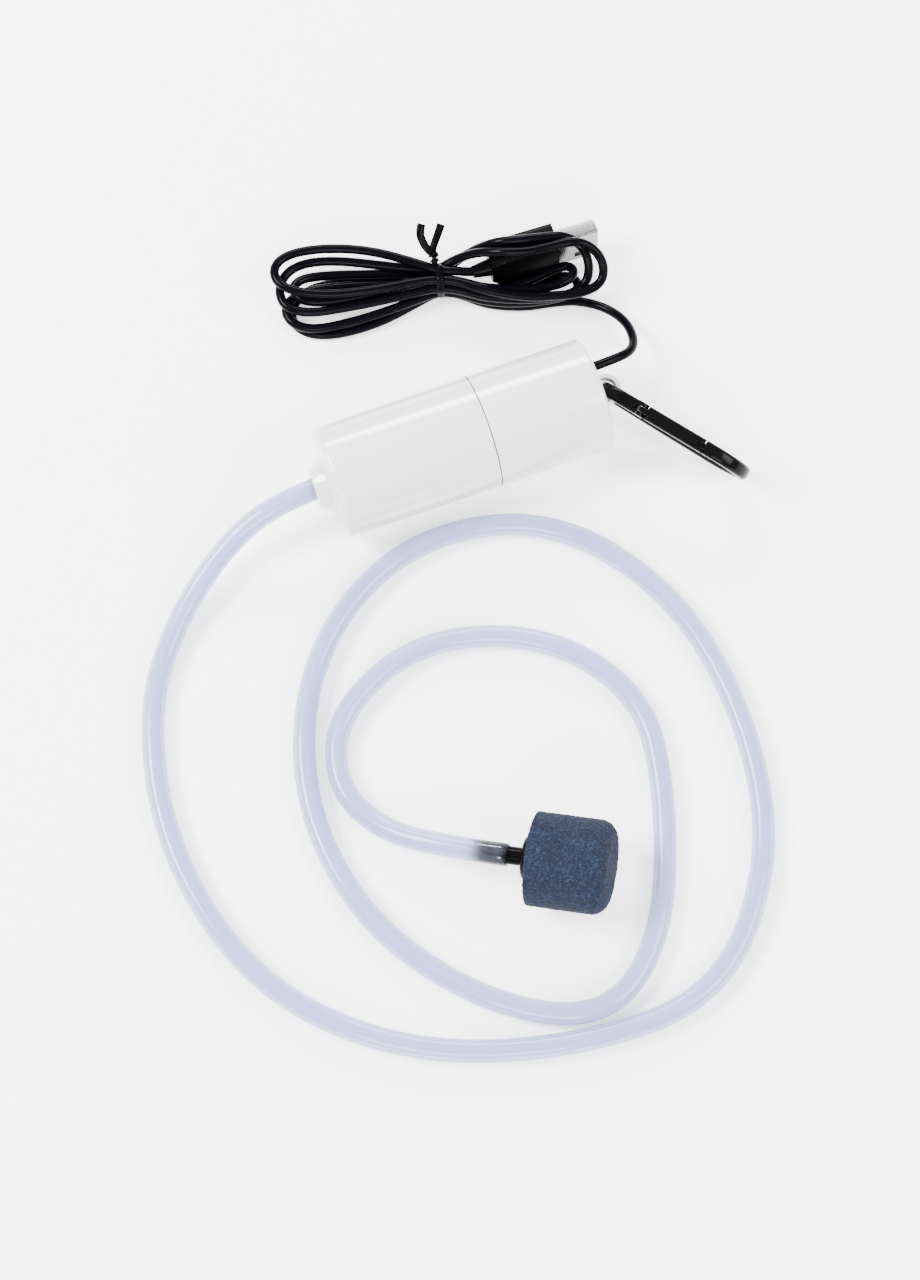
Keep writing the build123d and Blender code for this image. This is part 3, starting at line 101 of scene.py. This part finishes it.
# --- Finishes --------------------------------------------------------------------
def finish_of(name, tint, rough, metal=0.0, spread=0.04, grain=300.0, relief=0.02, coat=0.0, **sockets):
    """A surface finish: colour and roughness vary a little over the piece, with a fine relief.

    spread is how far the colour drifts either way, grain the relief's spots per metre
    and relief its depth in millimetres."""
    material = bpy.data.materials.new(name)
    material.use_nodes = True
    nodes = material.node_tree.nodes
    links = material.node_tree.links
    shader = nodes["Principled BSDF"]
    shader.inputs["Metallic"].default_value = metal
    shader.inputs["Coat Weight"].default_value = coat
    shader.inputs["Coat Roughness"].default_value = 0.08
    for socket, value in sockets.items():
        shader.inputs[socket.replace("_", " ")].default_value = value
    where = nodes.new("ShaderNodeTexCoord")
    broad = nodes.new("ShaderNodeTexNoise")
    broad.inputs["Scale"].default_value = grain / 8
    broad.inputs["Detail"].default_value = 3.0
    links.new(where.outputs["Object"], broad.inputs["Vector"])
    ramp = nodes.new("ShaderNodeValToRGB")
    low = [max(0.0, c * (1 - spread)) for c in tint]
    high = [min(1.0, c * (1 + spread)) for c in tint]
    ramp.color_ramp.elements[0].position = 0.3
    ramp.color_ramp.elements[0].color = (*low, 1.0)
    ramp.color_ramp.elements[1].position = 0.7
    ramp.color_ramp.elements[1].color = (*high, 1.0)
    links.new(broad.outputs["Fac"], ramp.inputs["Fac"])
    links.new(ramp.outputs["Color"], shader.inputs["Base Color"])
    sheen = nodes.new("ShaderNodeMapRange")
    sheen.inputs["To Min"].default_value = max(0.02, rough * 0.85)
    sheen.inputs["To Max"].default_value = min(1.0, rough * 1.15)
    links.new(broad.outputs["Fac"], sheen.inputs["Value"])
    links.new(sheen.outputs["Result"], shader.inputs["Roughness"])
    fine = nodes.new("ShaderNodeTexNoise")
    fine.inputs["Scale"].default_value = grain * 8
    fine.inputs["Detail"].default_value = 2.0
    links.new(where.outputs["Object"], fine.inputs["Vector"])
    bump = nodes.new("ShaderNodeBump")
    bump.inputs["Strength"].default_value = 0.5
    bump.inputs["Distance"].default_value = relief * MM
    links.new(fine.outputs["Fac"], bump.inputs["Height"])
    links.new(bump.outputs["Normal"], shader.inputs["Normal"])
    return material


WHITE = (0.62, 0.62, 0.615)
DEEP_BLACK = (0.0012, 0.0012, 0.0015)
CORD_BLACK = (0.0012, 0.0012, 0.002)
HOOK_BLACK = (0.002, 0.002, 0.0022)

FINISH = {
    "housing_white": finish_of("housing_white", WHITE, 0.2, coat=0.5, spread=0.01, relief=0.003),
    "black_rubber": finish_of("black_rubber", DEEP_BLACK, 0.22, relief=0.004, Specular_IOR_Level=0.03),
    "felt": finish_of("felt", (0.8, 0.79, 0.75), 0.95, spread=0.1, grain=900, relief=0.2),
    "foam": finish_of("foam", (0.09, 0.09, 0.1), 0.98, spread=0.4, grain=700, relief=0.4),
    "head_plastic": finish_of("head_plastic", (0.1, 0.1, 0.11), 0.5),
    "valve_rubber": finish_of("valve_rubber", (0.68, 0.65, 0.58), 0.55),
    "screw_steel": finish_of("screw_steel", (0.62, 0.62, 0.64), 0.28, metal=1.0),
    "black_plastic": finish_of("black_plastic", DEEP_BLACK, 0.24, relief=0.005, Specular_IOR_Level=0.03),
    "hub_plastic": finish_of("hub_plastic", (0.78, 0.77, 0.74), 0.4),
    "can_steel": finish_of("can_steel", (0.58, 0.58, 0.6), 0.3, metal=1.0),
    "magnet": finish_of("magnet", (0.07, 0.07, 0.075), 0.7, spread=0.2),
    "bush_bronze": finish_of("bush_bronze", (0.5, 0.34, 0.2), 0.35, metal=1.0),
    "copper": finish_of("copper", (0.72, 0.34, 0.18), 0.3, metal=1.0),
    "terminal_brass": finish_of("terminal_brass", (0.78, 0.6, 0.3), 0.3, metal=1.0),
    "ceramic": finish_of("ceramic", (0.65, 0.3, 0.1), 0.35),
    "red_pvc": finish_of("red_pvc", (0.55, 0.02, 0.02), 0.4),
    "black_pvc": finish_of("black_pvc", CORD_BLACK, 0.2, relief=0.004, Specular_IOR_Level=0.035),
    "black_anodised": finish_of("black_anodised", HOOK_BLACK, 0.13, relief=0.003, Specular_IOR_Level=0.06),
    "plug_steel": finish_of("plug_steel", (0.30, 0.295, 0.29), 0.24, metal=1.0, spread=0.03, relief=0.004),
    "contact_gold": finish_of("contact_gold", (0.95, 0.7, 0.3), 0.22, metal=1.0),
    "hose_clear": finish_of(
        "hose_clear",
        (0.50, 0.53, 0.80),
        0.16,
        spread=0.02,
        grain=120,
        relief=0.01,
        Transmission_Weight=0.6,
        IOR=1.4,
    ),
}


def stone_finish():
    """Sintered grit: dark blue grains with paler ones among them and open pores between."""
    material = bpy.data.materials.new("stone_blue")
    material.use_nodes = True
    nodes = material.node_tree.nodes
    links = material.node_tree.links
    shader = nodes["Principled BSDF"]
    shader.inputs["Roughness"].default_value = 0.9
    shader.inputs["Specular IOR Level"].default_value = 0.25
    where = nodes.new("ShaderNodeTexCoord")
    grains = nodes.new("ShaderNodeTexVoronoi")
    grains.inputs["Scale"].default_value = 2600.0
    links.new(where.outputs["Object"], grains.inputs["Vector"])
    ramp = nodes.new("ShaderNodeValToRGB")
    stops = ramp.color_ramp.elements
    stops[0].position = 0.0
    stops[0].color = (0.0007, 0.0028, 0.0105, 1.0)
    stops[1].position = 1.0
    stops[1].color = (0.010, 0.019, 0.042, 1.0)
    middle = ramp.color_ramp.elements.new(0.62)
    middle.color = (0.0018, 0.0055, 0.0175, 1.0)
    split = nodes.new("ShaderNodeSeparateColor")
    links.new(grains.outputs["Color"], split.inputs["Color"])
    links.new(split.outputs["Red"], ramp.inputs["Fac"])
    links.new(ramp.outputs["Color"], shader.inputs["Base Color"])
    bump = nodes.new("ShaderNodeBump")
    bump.inputs["Strength"].default_value = 0.9
    bump.inputs["Distance"].default_value = 0.25 * MM
    bump.invert = True
    links.new(grains.outputs["Distance"], bump.inputs["Height"])
    links.new(bump.outputs["Normal"], shader.inputs["Normal"])
    return material


FINISH["stone_blue"] = stone_finish()


def shade_hose_end(material):
    """Painted shade on the last stretch of the hose, darkening it where the dark barb sits inside; the
    mesh's own attribute says how much.
    """
    nodes = material.node_tree.nodes
    links = material.node_tree.links
    shader = nodes["Principled BSDF"]
    clear = shader.inputs["Base Color"].links[0].from_socket
    held = nodes.new("ShaderNodeAttribute")
    held.attribute_name = "barb"
    # Mixes in the near-black painted shade of the barb seen through the hose.
    barb_shade_mix = nodes.new("ShaderNodeMix")
    barb_shade_mix.data_type = "RGBA"
    barb_shade_mix.inputs["B"].default_value = (0.010, 0.009, 0.014, 1.0)
    links.new(held.outputs["Fac"], barb_shade_mix.inputs["Factor"])
    links.new(clear, barb_shade_mix.inputs["A"])
    links.new(barb_shade_mix.outputs["Result"], shader.inputs["Base Color"])


shade_hose_end(FINISH["hose_clear"])


# --- Helpers for the pieces ------------------------------------------------------
def show(name, mesh, slot, body="pump"):
    """Puts a finished mesh in the scene with its finish, riding on its body."""
    piece = bpy.data.objects.new(name, mesh)
    bpy.context.scene.collection.objects.link(piece)
    mesh.materials.clear()
    mesh.materials.append(FINISH[slot])
    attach(piece, body)
    return piece


def smooth_copy(node, sharp=30.0):
    """The node's own shape with its triangles joined and its round faces shaded smooth."""
    mesh = NODES[node].data.copy()
    mesh.name = node + "_skin"
    shape = bmesh.new()
    shape.from_mesh(mesh)
    bmesh.ops.remove_doubles(shape, verts=shape.verts, dist=2e-6)
    for face in shape.faces:
        face.smooth = True
    limit = math.radians(sharp)
    for edge in shape.edges:
        edge.smooth = len(edge.link_faces) == 2 and edge.calc_face_angle(math.pi) < limit
    shape.to_mesh(mesh)
    shape.free()
    piece = show(node + "_skin", mesh, SLOT_OF[node], BODY_OF[node])
    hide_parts(node)
    return piece


def spline_object(name, points, radius):
    """A cord as one open spline through the listed points, in millimetres."""
    data = bpy.data.curves.new(name, "CURVE")
    data.dimensions = "3D"
    data.resolution_u = 10
    data.bevel_depth = radius * MM
    data.bevel_resolution = 6
    data.use_fill_caps = True
    line = data.splines.new("NURBS")
    line.points.add(len(points) - 1)
    for spot, point in zip(line.points, points):
        spot.co = (*mm(*point), 1.0)
    line.order_u = 3
    line.use_endpoint_u = True
    line.resolution_u = 10
    piece = bpy.data.objects.new(name, data)
    bpy.context.scene.collection.objects.link(piece)
    return piece


def centreline(points, resolution=12):
    """Close-set points along the spline that the listed points give, in metres."""
    guide = spline_object("guide", points, 0.0)
    guide.data.resolution_u = resolution
    guide.data.splines[0].resolution_u = resolution
    bpy.context.view_layer.update()
    mesh = bpy.data.meshes.new_from_object(guide.evaluated_get(bpy.context.evaluated_depsgraph_get()))
    track = [v.co.copy() for v in mesh.vertices]
    bpy.data.meshes.remove(mesh)
    data = guide.data
    bpy.data.objects.remove(guide)
    bpy.data.curves.remove(data)
    return track


def frames_along(track, first, hold=False):
    """For each point, the heading and two square directions that turn as little as possible.

    With hold, the first of the two keeps as near as it can to its starting direction."""
    count = len(track)
    heads = []
    for i in range(count):
        heads.append((track[min(i + 1, count - 1)] - track[max(i - 1, 0)]).normalized())
    side = (first - heads[0] * first.dot(heads[0])).normalized()
    result = []
    for head in heads:
        side = first if hold else side
        side = (side - head * side.dot(head)).normalized()
        result.append((head, side, head.cross(side)))
    return result


def sweep(name, track, section, first, scale=None, twist=None, closed=False, hold=False):
    """A section carried along a track; scale and twist may change from point to point."""
    shape = bmesh.new()
    rings = []
    for i, (point, (head, side, up)) in enumerate(zip(track, frames_along(track, first, hold))):
        grow = scale[i] if scale else (1.0, 1.0)
        turn = twist[i] if twist else 0.0
        ring = []
        for u, v in section:
            u *= grow[0]
            v *= grow[1]
            a = u * math.cos(turn) - v * math.sin(turn)
            b = u * math.sin(turn) + v * math.cos(turn)
            ring.append(shape.verts.new(point + side * a + up * b))
        rings.append(ring)
    number = len(section)
    pairs = list(zip(rings, rings[1:]))
    if closed:
        pairs.append((rings[-1], rings[0]))
    for lower, upper in pairs:
        for k in range(number):
            shape.faces.new((lower[k], lower[(k + 1) % number], upper[(k + 1) % number], upper[k]))
    if not closed:
        shape.faces.new(list(reversed(rings[0])))
        shape.faces.new(rings[-1])
    for face in shape.faces:
        face.smooth = len(face.verts) == 4
    bmesh.ops.recalc_face_normals(shape, faces=shape.faces)
    mesh = bpy.data.meshes.new(name)
    shape.to_mesh(mesh)
    shape.free()
    return mesh


# --- Air hose --------------------------------------------------------------------
HOSE_RADIUS = 3.0
HOSE_BORE_RADIUS = 2.0
BARB_LENGTH = 7.4
BARB_SHADE_OVER = 2.8
BARB_SHADE_FADE = 2.6
STONE_HEADING = math.radians(-30.5)
STONE_TILT = math.radians(9.0)
STONE_AXIS = Vector(
    (
        math.cos(STONE_TILT) * math.cos(STONE_HEADING),
        math.cos(STONE_TILT) * math.sin(STONE_HEADING),
        math.sin(STONE_TILT),
    )
)
STONE_FACE = Vector((-23.0, -114.2, 12.3))
HOSE_END_GAP = 6.2
HOSE_END = STONE_FACE - STONE_AXIS * HOSE_END_GAP

HOSE_POINTS = [
    (-35, 0, 15.5),
    (-51, 0, 15.5),
    (-68, -4, 9.5),
    (-88, -18, 3),
    (-103.5, -40, 3),
    (-110.5, -78, 3),
    (-100.5, -119.5, 3),
    (-71, -148.5, 3),
    (-30, -162.5, 3),
    (11, -163, 3),
    (37.5, -132.5, 3),
    (45, -93, 3),
    (38.8, -54.5, 3),
    (14.5, -23.5, 3),
    (-24, -18, 3),
    (-56.5, -38, 3),
    (-73, -74, 3),
    (-69, -113, 3),
    (-46.5, -144, 3),
    (-19, -158.8, 3),
    (3, -143, 3),
    (17.5, -107, 3),
    (21, -80, 3),
    (3, -55.5, 3),
    (-29, -45.5, 3),
    (-56, -57, 3),
    (-63.5, -76, 3),
    (-56, -92, 3),
    tuple(HOSE_END - STONE_AXIS * 14),
    tuple(HOSE_END),
]


def ring_section(radius, sides):
    """Evenly spaced points round a circle."""
    turns = [math.tau * k / sides for k in range(sides)]
    return [(radius * math.cos(turn), radius * math.sin(turn)) for turn in turns]


def hose_mesh(track):
    """A tube with its bore: outer wall, inner wall and a ring at each end."""
    shape = bmesh.new()
    sides = 28
    walls = []
    for radius in (HOSE_RADIUS, HOSE_BORE_RADIUS):
        rings = []
        for point, (head, side, up) in zip(track, frames_along(track, Vector((0, 1, 0)))):
            ring = []
            for u, v in ring_section(radius * MM, sides):
                ring.append(shape.verts.new(point + side * u + up * v))
            rings.append(ring)
        walls.append(rings)
    outer, inner = walls
    for k in range(sides):
        m = (k + 1) % sides
        for i in range(len(track) - 1):
            shape.faces.new((outer[i][k], outer[i][m], outer[i + 1][m], outer[i + 1][k]))
            shape.faces.new((inner[i][m], inner[i][k], inner[i + 1][k], inner[i + 1][m]))
        shape.faces.new((outer[0][m], outer[0][k], inner[0][k], inner[0][m]))
        shape.faces.new((outer[-1][k], outer[-1][m], inner[-1][m], inner[-1][k]))
    for face in shape.faces:
        face.smooth = True
    bmesh.ops.recalc_face_normals(shape, faces=shape.faces)
    mesh = bpy.data.meshes.new("air_hose_tube")
    shape.to_mesh(mesh)
    shape.free()
    # The barb attribute holds painted shade: full over the barb and a little past it, fading out, with a
    # slight mottle.
    barb = mesh.attributes.new("barb", "FLOAT", "POINT")
    end = HOSE_END * MM
    for spot, vertex in zip(barb.data, mesh.vertices):
        along = (end - vertex.co).dot(STONE_AXIS) / MM
        near = (vertex.co - end).length / MM
        mottle = 0.12 * noise.noise(vertex.co / MM * 0.9)
        cover = min(1.0, max(0.0, (BARB_LENGTH + BARB_SHADE_OVER - along) / BARB_SHADE_FADE))
        spot.value = min(1.0, max(0.0, cover * (0.92 + mottle))) if near < 16.0 else 0.0
    return mesh


hose_track = centreline(HOSE_POINTS)
hose = show("air_hose_tube", hose_mesh(hose_track), "hose_clear")
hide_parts("air_hose")

# --- Power cord ------------------------------------------------------------------
CORD_RADIUS = 1.3
HANK_PLACE = Vector((11.5, 50.0))
HANK_TURN = math.radians(-12.6)
CORD_LEAD = [
    (33.2, 7.3, 15.5),
    (46, 7.3, 15.5),
    (54, 10.2, 11),
    (56, 19.5, 6),
    (53, 27.5, 2.6),
    (46.5, 33, 1.4),
]
# The ten strands where they pass through the tie: across and up.
WAIST_STRANDS = [
    (-1.35, 2.05),
    (1.35, 2.05),
    (-2.7, 4.4),
    (0, 4.4),
    (0, 7.1),
    (2.7, 4.4),
    (-2.7, 7.1),
    (2.7, 7.1),
    (-1.35, 9.45),
    (1.35, 9.45),
]
# Hank turns: along the hank, across it and up, each from one pass through the tie to the next.
HANK_TURNS = [
    [  # lead along the front
        (31, -8.6, 1.35), (22, -9, 1.35), (12, -6.8, 1.4), (5.5, -3, 1.9),
    ],
    [  # left 1
        (-6, -3.6, 1.6), (-17, -8.3, 1.35), (-29, -10.6, 1.35), (-37.6, -9.6, 1.35), (-42, -5.2, 1.35),
        (-41, 0.2, 1.35), (-36, 4.4, 1.35), (-27, 5.2, 1.35), (-16, 4.2, 1.35), (-6, 1.9, 1.6),
    ],
    [  # right 1
        (5.5, 0.2, 1.9), (12, -3.2, 1.4), (20, -3.6, 1.35), (27, -2, 1.35), (33, -0.8, 1.45),
        (37.2, -2, 2.2), (38.4, -5.4, 3.3), (36, -8.2, 4.1), (30, -9, 4.3), (21, -8.9, 4.05),
        (12, -7.1, 4.1), (5.5, -4.1, 4.3),
    ],
    [  # left 2
        (-6, -3.9, 4.2), (-17, -6.9, 4.05), (-28, -8.8, 4.05), (-36.5, -9.4, 4.05), (-42, -6.8, 4.05),
        (-43.6, -2.2, 4.05), (-40.4, 1.6, 4), (-33, 2.8, 4), (-20, 2.2, 4), (-8, 0.5, 4.3),
    ],
    [  # right 2
        (5.5, -1.2, 4.3), (12, -4.1, 4.1), (19.5, -4.2, 4.05), (26.5, -2, 4.1), (31.6, -0.2, 4.4),
        (35.8, 0.3, 5.4), (37.6, -2.4, 6.5), (35, -5.4, 6.9), (29.6, -6.4, 6.9), (22.5, -6.3, 6.8),
        (12, -4.4, 6.9), (5.5, -1.4, 7),
    ],
    [  # left 3
        (-6, -0.2, 7), (-17, -1.8, 6.8), (-26, -2.6, 6.8), (-33.5, -2.8, 6.8), (-39, -1.2, 6.7),
        (-40.8, 2.6, 6.4), (-38, 5.6, 5.7), (-31, 6.2, 4.7), (-22, 5.6, 4.1), (-8, 4, 4.2),
    ],
    [  # right 3, over the plug
        (5, 4.9, 6), (10.5, 5.6, 11.2), (16.5, 4.4, 17), (22.5, 3.6, 17.9), (29, 3.7, 17.8),
        (35, 3.6, 17.4), (39.6, 1.4, 14.8), (41.4, -2.4, 11), (40.2, -7.2, 7.8), (34, -9.8, 6.9),
        (23, -9.4, 6.8), (12, -7.2, 6.9), (5.5, -4.2, 7),
    ],
    [  # left 4
        (-6, -3.1, 7), (-17, -4.5, 6.8), (-28, -5.3, 6.8), (-37, -5.6, 6.8), (-43, -3.2, 6.8),
        (-44.6, 2, 6.8), (-42, 7.4, 6.9), (-36, 9.8, 6.9), (-27, 9.2, 6.8), (-16, 6.4, 6.8),
        (-6, 3.7, 6.95),
    ],
    [  # right 4, over the plug
        (5, 4.2, 9.4), (10.5, 3.4, 13.8), (17, 0.8, 17.7), (24, -0.2, 17.9), (31, 0.6, 18),
        (37.6, 1, 18.9), (42.8, -0.9, 16.4), (45.2, -4.6, 12.6), (43.8, -8.8, 10.1), (38, -10.6, 9.4),
        (31, -10.4, 9.5), (23, -9.9, 9.5), (12, -6.4, 9.5), (5.5, -2.8, 9.5),
    ],
    [  # left 5
        (-6, -1.2, 9.6), (-17, -2.2, 9.5), (-30, -2.2, 9.5), (-39.5, -0.2, 9.5), (-44.9, 3.6, 9.5),
        (-45, 8.8, 9.5), (-40, 11.9, 9.5), (-30, 12.2, 9.5), (-18, 9.9, 9.5), (-7, 4.9, 9.8),
    ],
    [  # to the plug
        (4, 0.9, 9.2), (8.2, 0.3, 8.45), (10.2, 0.4, 8.27),
    ],
]


def in_hank(along, across, height):
    """A place in the hank, from its middle, in millimetres of the shared frame."""
    c = math.cos(HANK_TURN)
    s = math.sin(HANK_TURN)
    return (HANK_PLACE.x + along * c - across * s, HANK_PLACE.y + along * s + across * c, height)


cord_points = list(CORD_LEAD)
for number, turn in enumerate(HANK_TURNS):
    cord_points += [in_hank(*place) for place in turn]
    if number < len(WAIST_STRANDS):
        cord_points.append(in_hank(0, *WAIST_STRANDS[number]))

power_cord = spline_object("power_cord", cord_points, CORD_RADIUS)
power_cord.data.materials.append(FINISH["black_pvc"])
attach(power_cord, "pump")
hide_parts("usb_cable", "usb_cable_hank")
cord_track = centreline(cord_points)

# --- Twist tie -------------------------------------------------------------------
# Across the flat strip, with the wire's swelling in its middle: one face and then the other.
STRIP_FACE = [(-1.1, 0.13), (-0.35, 0.16), (0, 0.3), (0.35, 0.16), (1.1, 0.13)]
STRIP = [(u * MM, -v * MM) for u, v in STRIP_FACE] + [(u * MM, v * MM) for u, v in reversed(STRIP_FACE)]
BAND_GAP = 0.2
BAND_LOWEST = 0.35
BAND_STEP = 0.4
BAND_SIDES = 24
TAIL_TURNS = 1.5
TAIL_CLIMB = 3.0
TAIL_SPACING = 0.55
TAIL_STEPS = 12
TAIL_TWISTED = 0.62
TAIL_NARROW = 0.75
TAIL_WIDENS = 0.3


def hull(points):
    """Corners of the tightest outline round the points, in order."""
    points = sorted(points)
    halves = []
    for run in (points, list(reversed(points))):
        line = []
        for p in run:
            while len(line) > 1:
                (ax, ay), (bx, by) = line[-2], line[-1]
                if (bx - ax) * (p[1] - ay) - (by - ay) * (p[0] - ax) > 0:
                    break
                line.pop()
            line.append(p)
        halves.append(line[:-1])
    return halves[0] + halves[1]


def even(points, step):
    """Points at even steps round a closed outline."""
    result = []
    loop = points + points[:1]
    carry = 0.0
    for (ax, ay), (bx, by) in zip(loop, loop[1:]):
        span = math.hypot(bx - ax, by - ay)
        while carry < span:
            result.append((ax + (bx - ax) * carry / span, ay + (by - ay) * carry / span))
            carry += step
        carry -= span
    return result


band_outline = []
for across, height in WAIST_STRANDS:
    for k in range(BAND_SIDES):
        turn = math.tau * k / BAND_SIDES
        reach = CORD_RADIUS + BAND_GAP
        lifted = max(BAND_LOWEST, height + reach * math.sin(turn))
        band_outline.append((across + reach * math.cos(turn), lifted))
band_outline = even(hull(band_outline), BAND_STEP)
band_track = [mm(*in_hank(0, across, height)) for across, height in band_outline]
along_hank = Vector((math.cos(HANK_TURN), math.sin(HANK_TURN), 0))
band = sweep("twist_tie_band", band_track, STRIP, along_hank, closed=True)

# The two ends of the strip leave the band at the far upper side, wind round each
# other for a turn and a half and then spread apart.
KNOT_FOOT = in_hank(-0.9, 2.9, 10.4)
tie_meshes = [band]
for turn_from, tail in (
    (0.0, [(10.3, 56.9, 13.6), (9.7, 58.6, 15.2), (9.6, 60.6, 16.6), (10.9, 62.6, 17.4)]),
    (math.pi, [(11.9, 56.2, 13.8), (13.0, 57.4, 15.2), (14.6, 59.0, 16.6), (15.9, 60.6, 17.6)]),
):
    wound = []
    start = Vector(KNOT_FOOT)
    climb = Vector((0.1, 0.72, 0.68)).normalized()
    side = climb.cross(Vector((1, 0, 0))).normalized()
    other = climb.cross(side)
    for k in range(TAIL_STEPS + 1):
        share = k / TAIL_STEPS
        turn = turn_from + share * math.tau * TAIL_TURNS
        aside = (side * math.cos(turn) + other * math.sin(turn)) * TAIL_SPACING
        wound.append(tuple(start + climb * (share * TAIL_CLIMB) + aside))
    track = centreline(wound + tail, 6)
    number = len(track)
    twist = [math.tau * min(1.0, k / (number * TAIL_TWISTED)) for k in range(number)]
    narrow = [(TAIL_NARROW + TAIL_WIDENS * k / number,) * 2 for k in range(number)]
    tie_meshes.append(sweep("twist_tie_tail", track, STRIP, Vector((1, 0.15, 0)), narrow, twist, hold=True))

joined = bmesh.new()
for mesh in tie_meshes:
    joined.from_mesh(mesh)
    bpy.data.meshes.remove(mesh)
tie_mesh = bpy.data.meshes.new("twist_tie")
joined.to_mesh(tie_mesh)
joined.free()
twist_tie = show("twist_tie", tie_mesh, "black_rubber")
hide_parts("cable_tie")

# --- Air stone -------------------------------------------------------------------
STONE_RADIUS = 12.35
STONE_LENGTH = 21.3
STONE_EDGE = 4.4
STONE_BULGE = 0.5
STONE_RIM = 0.3
STONE_POLE = 0.02
STONE_SIDES = 260
FACE_RINGS = 25
WALL_RINGS = 60
EDGE_RINGS = 20
FINE_LUMPS = 2.1
BROAD_LUMPS = 0.9


def stone_profile():
    """Distance along the stone and from its axis, from the hose-side middle round to the far middle."""
    profile = []
    for k in range(FACE_RINGS):
        profile.append((0.0, STONE_RADIUS * k / FACE_RINGS * 0.985 + STONE_POLE))
    profile.append((0.25, STONE_RADIUS - 0.1))
    wall_end = STONE_LENGTH - STONE_EDGE
    for k in range(1, WALL_RINGS):
        profile.append((STONE_RIM + (wall_end - STONE_RIM) * k / WALL_RINGS, STONE_RADIUS))
    flat = STONE_RADIUS - STONE_EDGE
    for k in range(EDGE_RINGS + 1):
        turn = math.pi / 2 * k / EDGE_RINGS
        profile.append((wall_end + STONE_EDGE * math.sin(turn), flat + STONE_EDGE * math.cos(turn)))
    for k in range(1, EDGE_RINGS):
        share = k / EDGE_RINGS
        bulge = STONE_BULGE * math.sin(math.pi / 2 * share)
        profile.append((STONE_LENGTH + bulge, flat * (1 - share) + STONE_POLE))
    return profile


def stone_mesh():
    """The stone's skin, roughened by its grains."""
    head = STONE_AXIS
    side = head.cross(Vector((0, 0, 1))).normalized()
    up = side.cross(head)
    shape = bmesh.new()
    rings = []
    profile = stone_profile()
    for i, (x, r) in enumerate(profile):
        (xa, ra), (xb, rb) = profile[max(0, i - 1)], profile[min(len(profile) - 1, i + 1)]
        slope = Vector((rb - ra, xa - xb)).normalized()
        ring = []
        for k in range(STONE_SIDES):
            turn = math.tau * k / STONE_SIDES
            out = side * math.cos(turn) + up * math.sin(turn)
            place = STONE_FACE + head * x + out * r
            rough = noise.noise(place * FINE_LUMPS) * 0.13 + noise.noise(place * BROAD_LUMPS) * 0.1
            push = (rough - 0.1) * min(1.0, r / 3.0)
            place += (out * -slope.y + head * -slope.x) * push
            ring.append(shape.verts.new(place * MM))
        rings.append(ring)
    for lower, upper in zip(rings, rings[1:]):
        for k in range(STONE_SIDES):
            m = (k + 1) % STONE_SIDES
            shape.faces.new((lower[k], lower[m], upper[m], upper[k]))
    shape.faces.new(list(reversed(rings[0])))
    shape.faces.new(rings[-1])
    for face in shape.faces:
        face.smooth = True
    bmesh.ops.recalc_face_normals(shape, faces=shape.faces)
    mesh = bpy.data.meshes.new("air_stone_grit")
    shape.to_mesh(mesh)
    shape.free()
    return mesh


stone = show("air_stone_grit", stone_mesh(), "stone_blue")
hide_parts("air_stone")

# --- Everything else keeps its own shape, smoothed -------------------------------
DRAWN = {"air_hose", "air_stone", "usb_cable", "usb_cable_hank", "cable_tie"}
skins = {node: smooth_copy(node) for node in sorted(NODES) if node not in DRAWN}

# The lip that plugs into the front shell is painted dark and dull, a painted shade for the shadow down the
# seam; it shows only down the seam.
LIP_ROOT = 5.9
LIP_RADIUS = 15.3
lip_skin = skins["rear_shell"]
lip_skin.data.materials.append(finish_of("seam_lip_painted_shade", (0.02, 0.02, 0.02), 0.8))
# Faces of the lip inside the seam get the painted shade finish.
for face in lip_skin.data.polygons:
    place = face.center / MM
    if place.x < LIP_ROOT and math.hypot(place.y, place.z - AXIS_HEIGHT) < LIP_RADIUS:
        face.material_index = 1

# --- Floor -----------------------------------------------------------------------
FLOOR_REACH = 3.0
FLOOR_DROP = 0.0004

floor_corners = [(a * FLOOR_REACH, b * FLOOR_REACH, 0) for a, b in ((-1, -1), (1, -1), (1, 1), (-1, 1))]
floor_mesh = bpy.data.meshes.new("floor")
floor_mesh.from_pydata(floor_corners, [], [(0, 1, 2, 3)])
floor = bpy.data.objects.new("floor", floor_mesh)
bpy.context.scene.collection.objects.link(floor)
floor.location.z = -FLOOR_DROP
floor_mesh.materials.append(
    finish_of(
        "floor_white",
        (0.95, 0.95, 0.95),
        0.6,
        spread=0.002,
        relief=0.001,
        Emission_Color=(1.0, 1.0, 1.0, 1.0),
        Emission_Strength=0.8,
    )
)
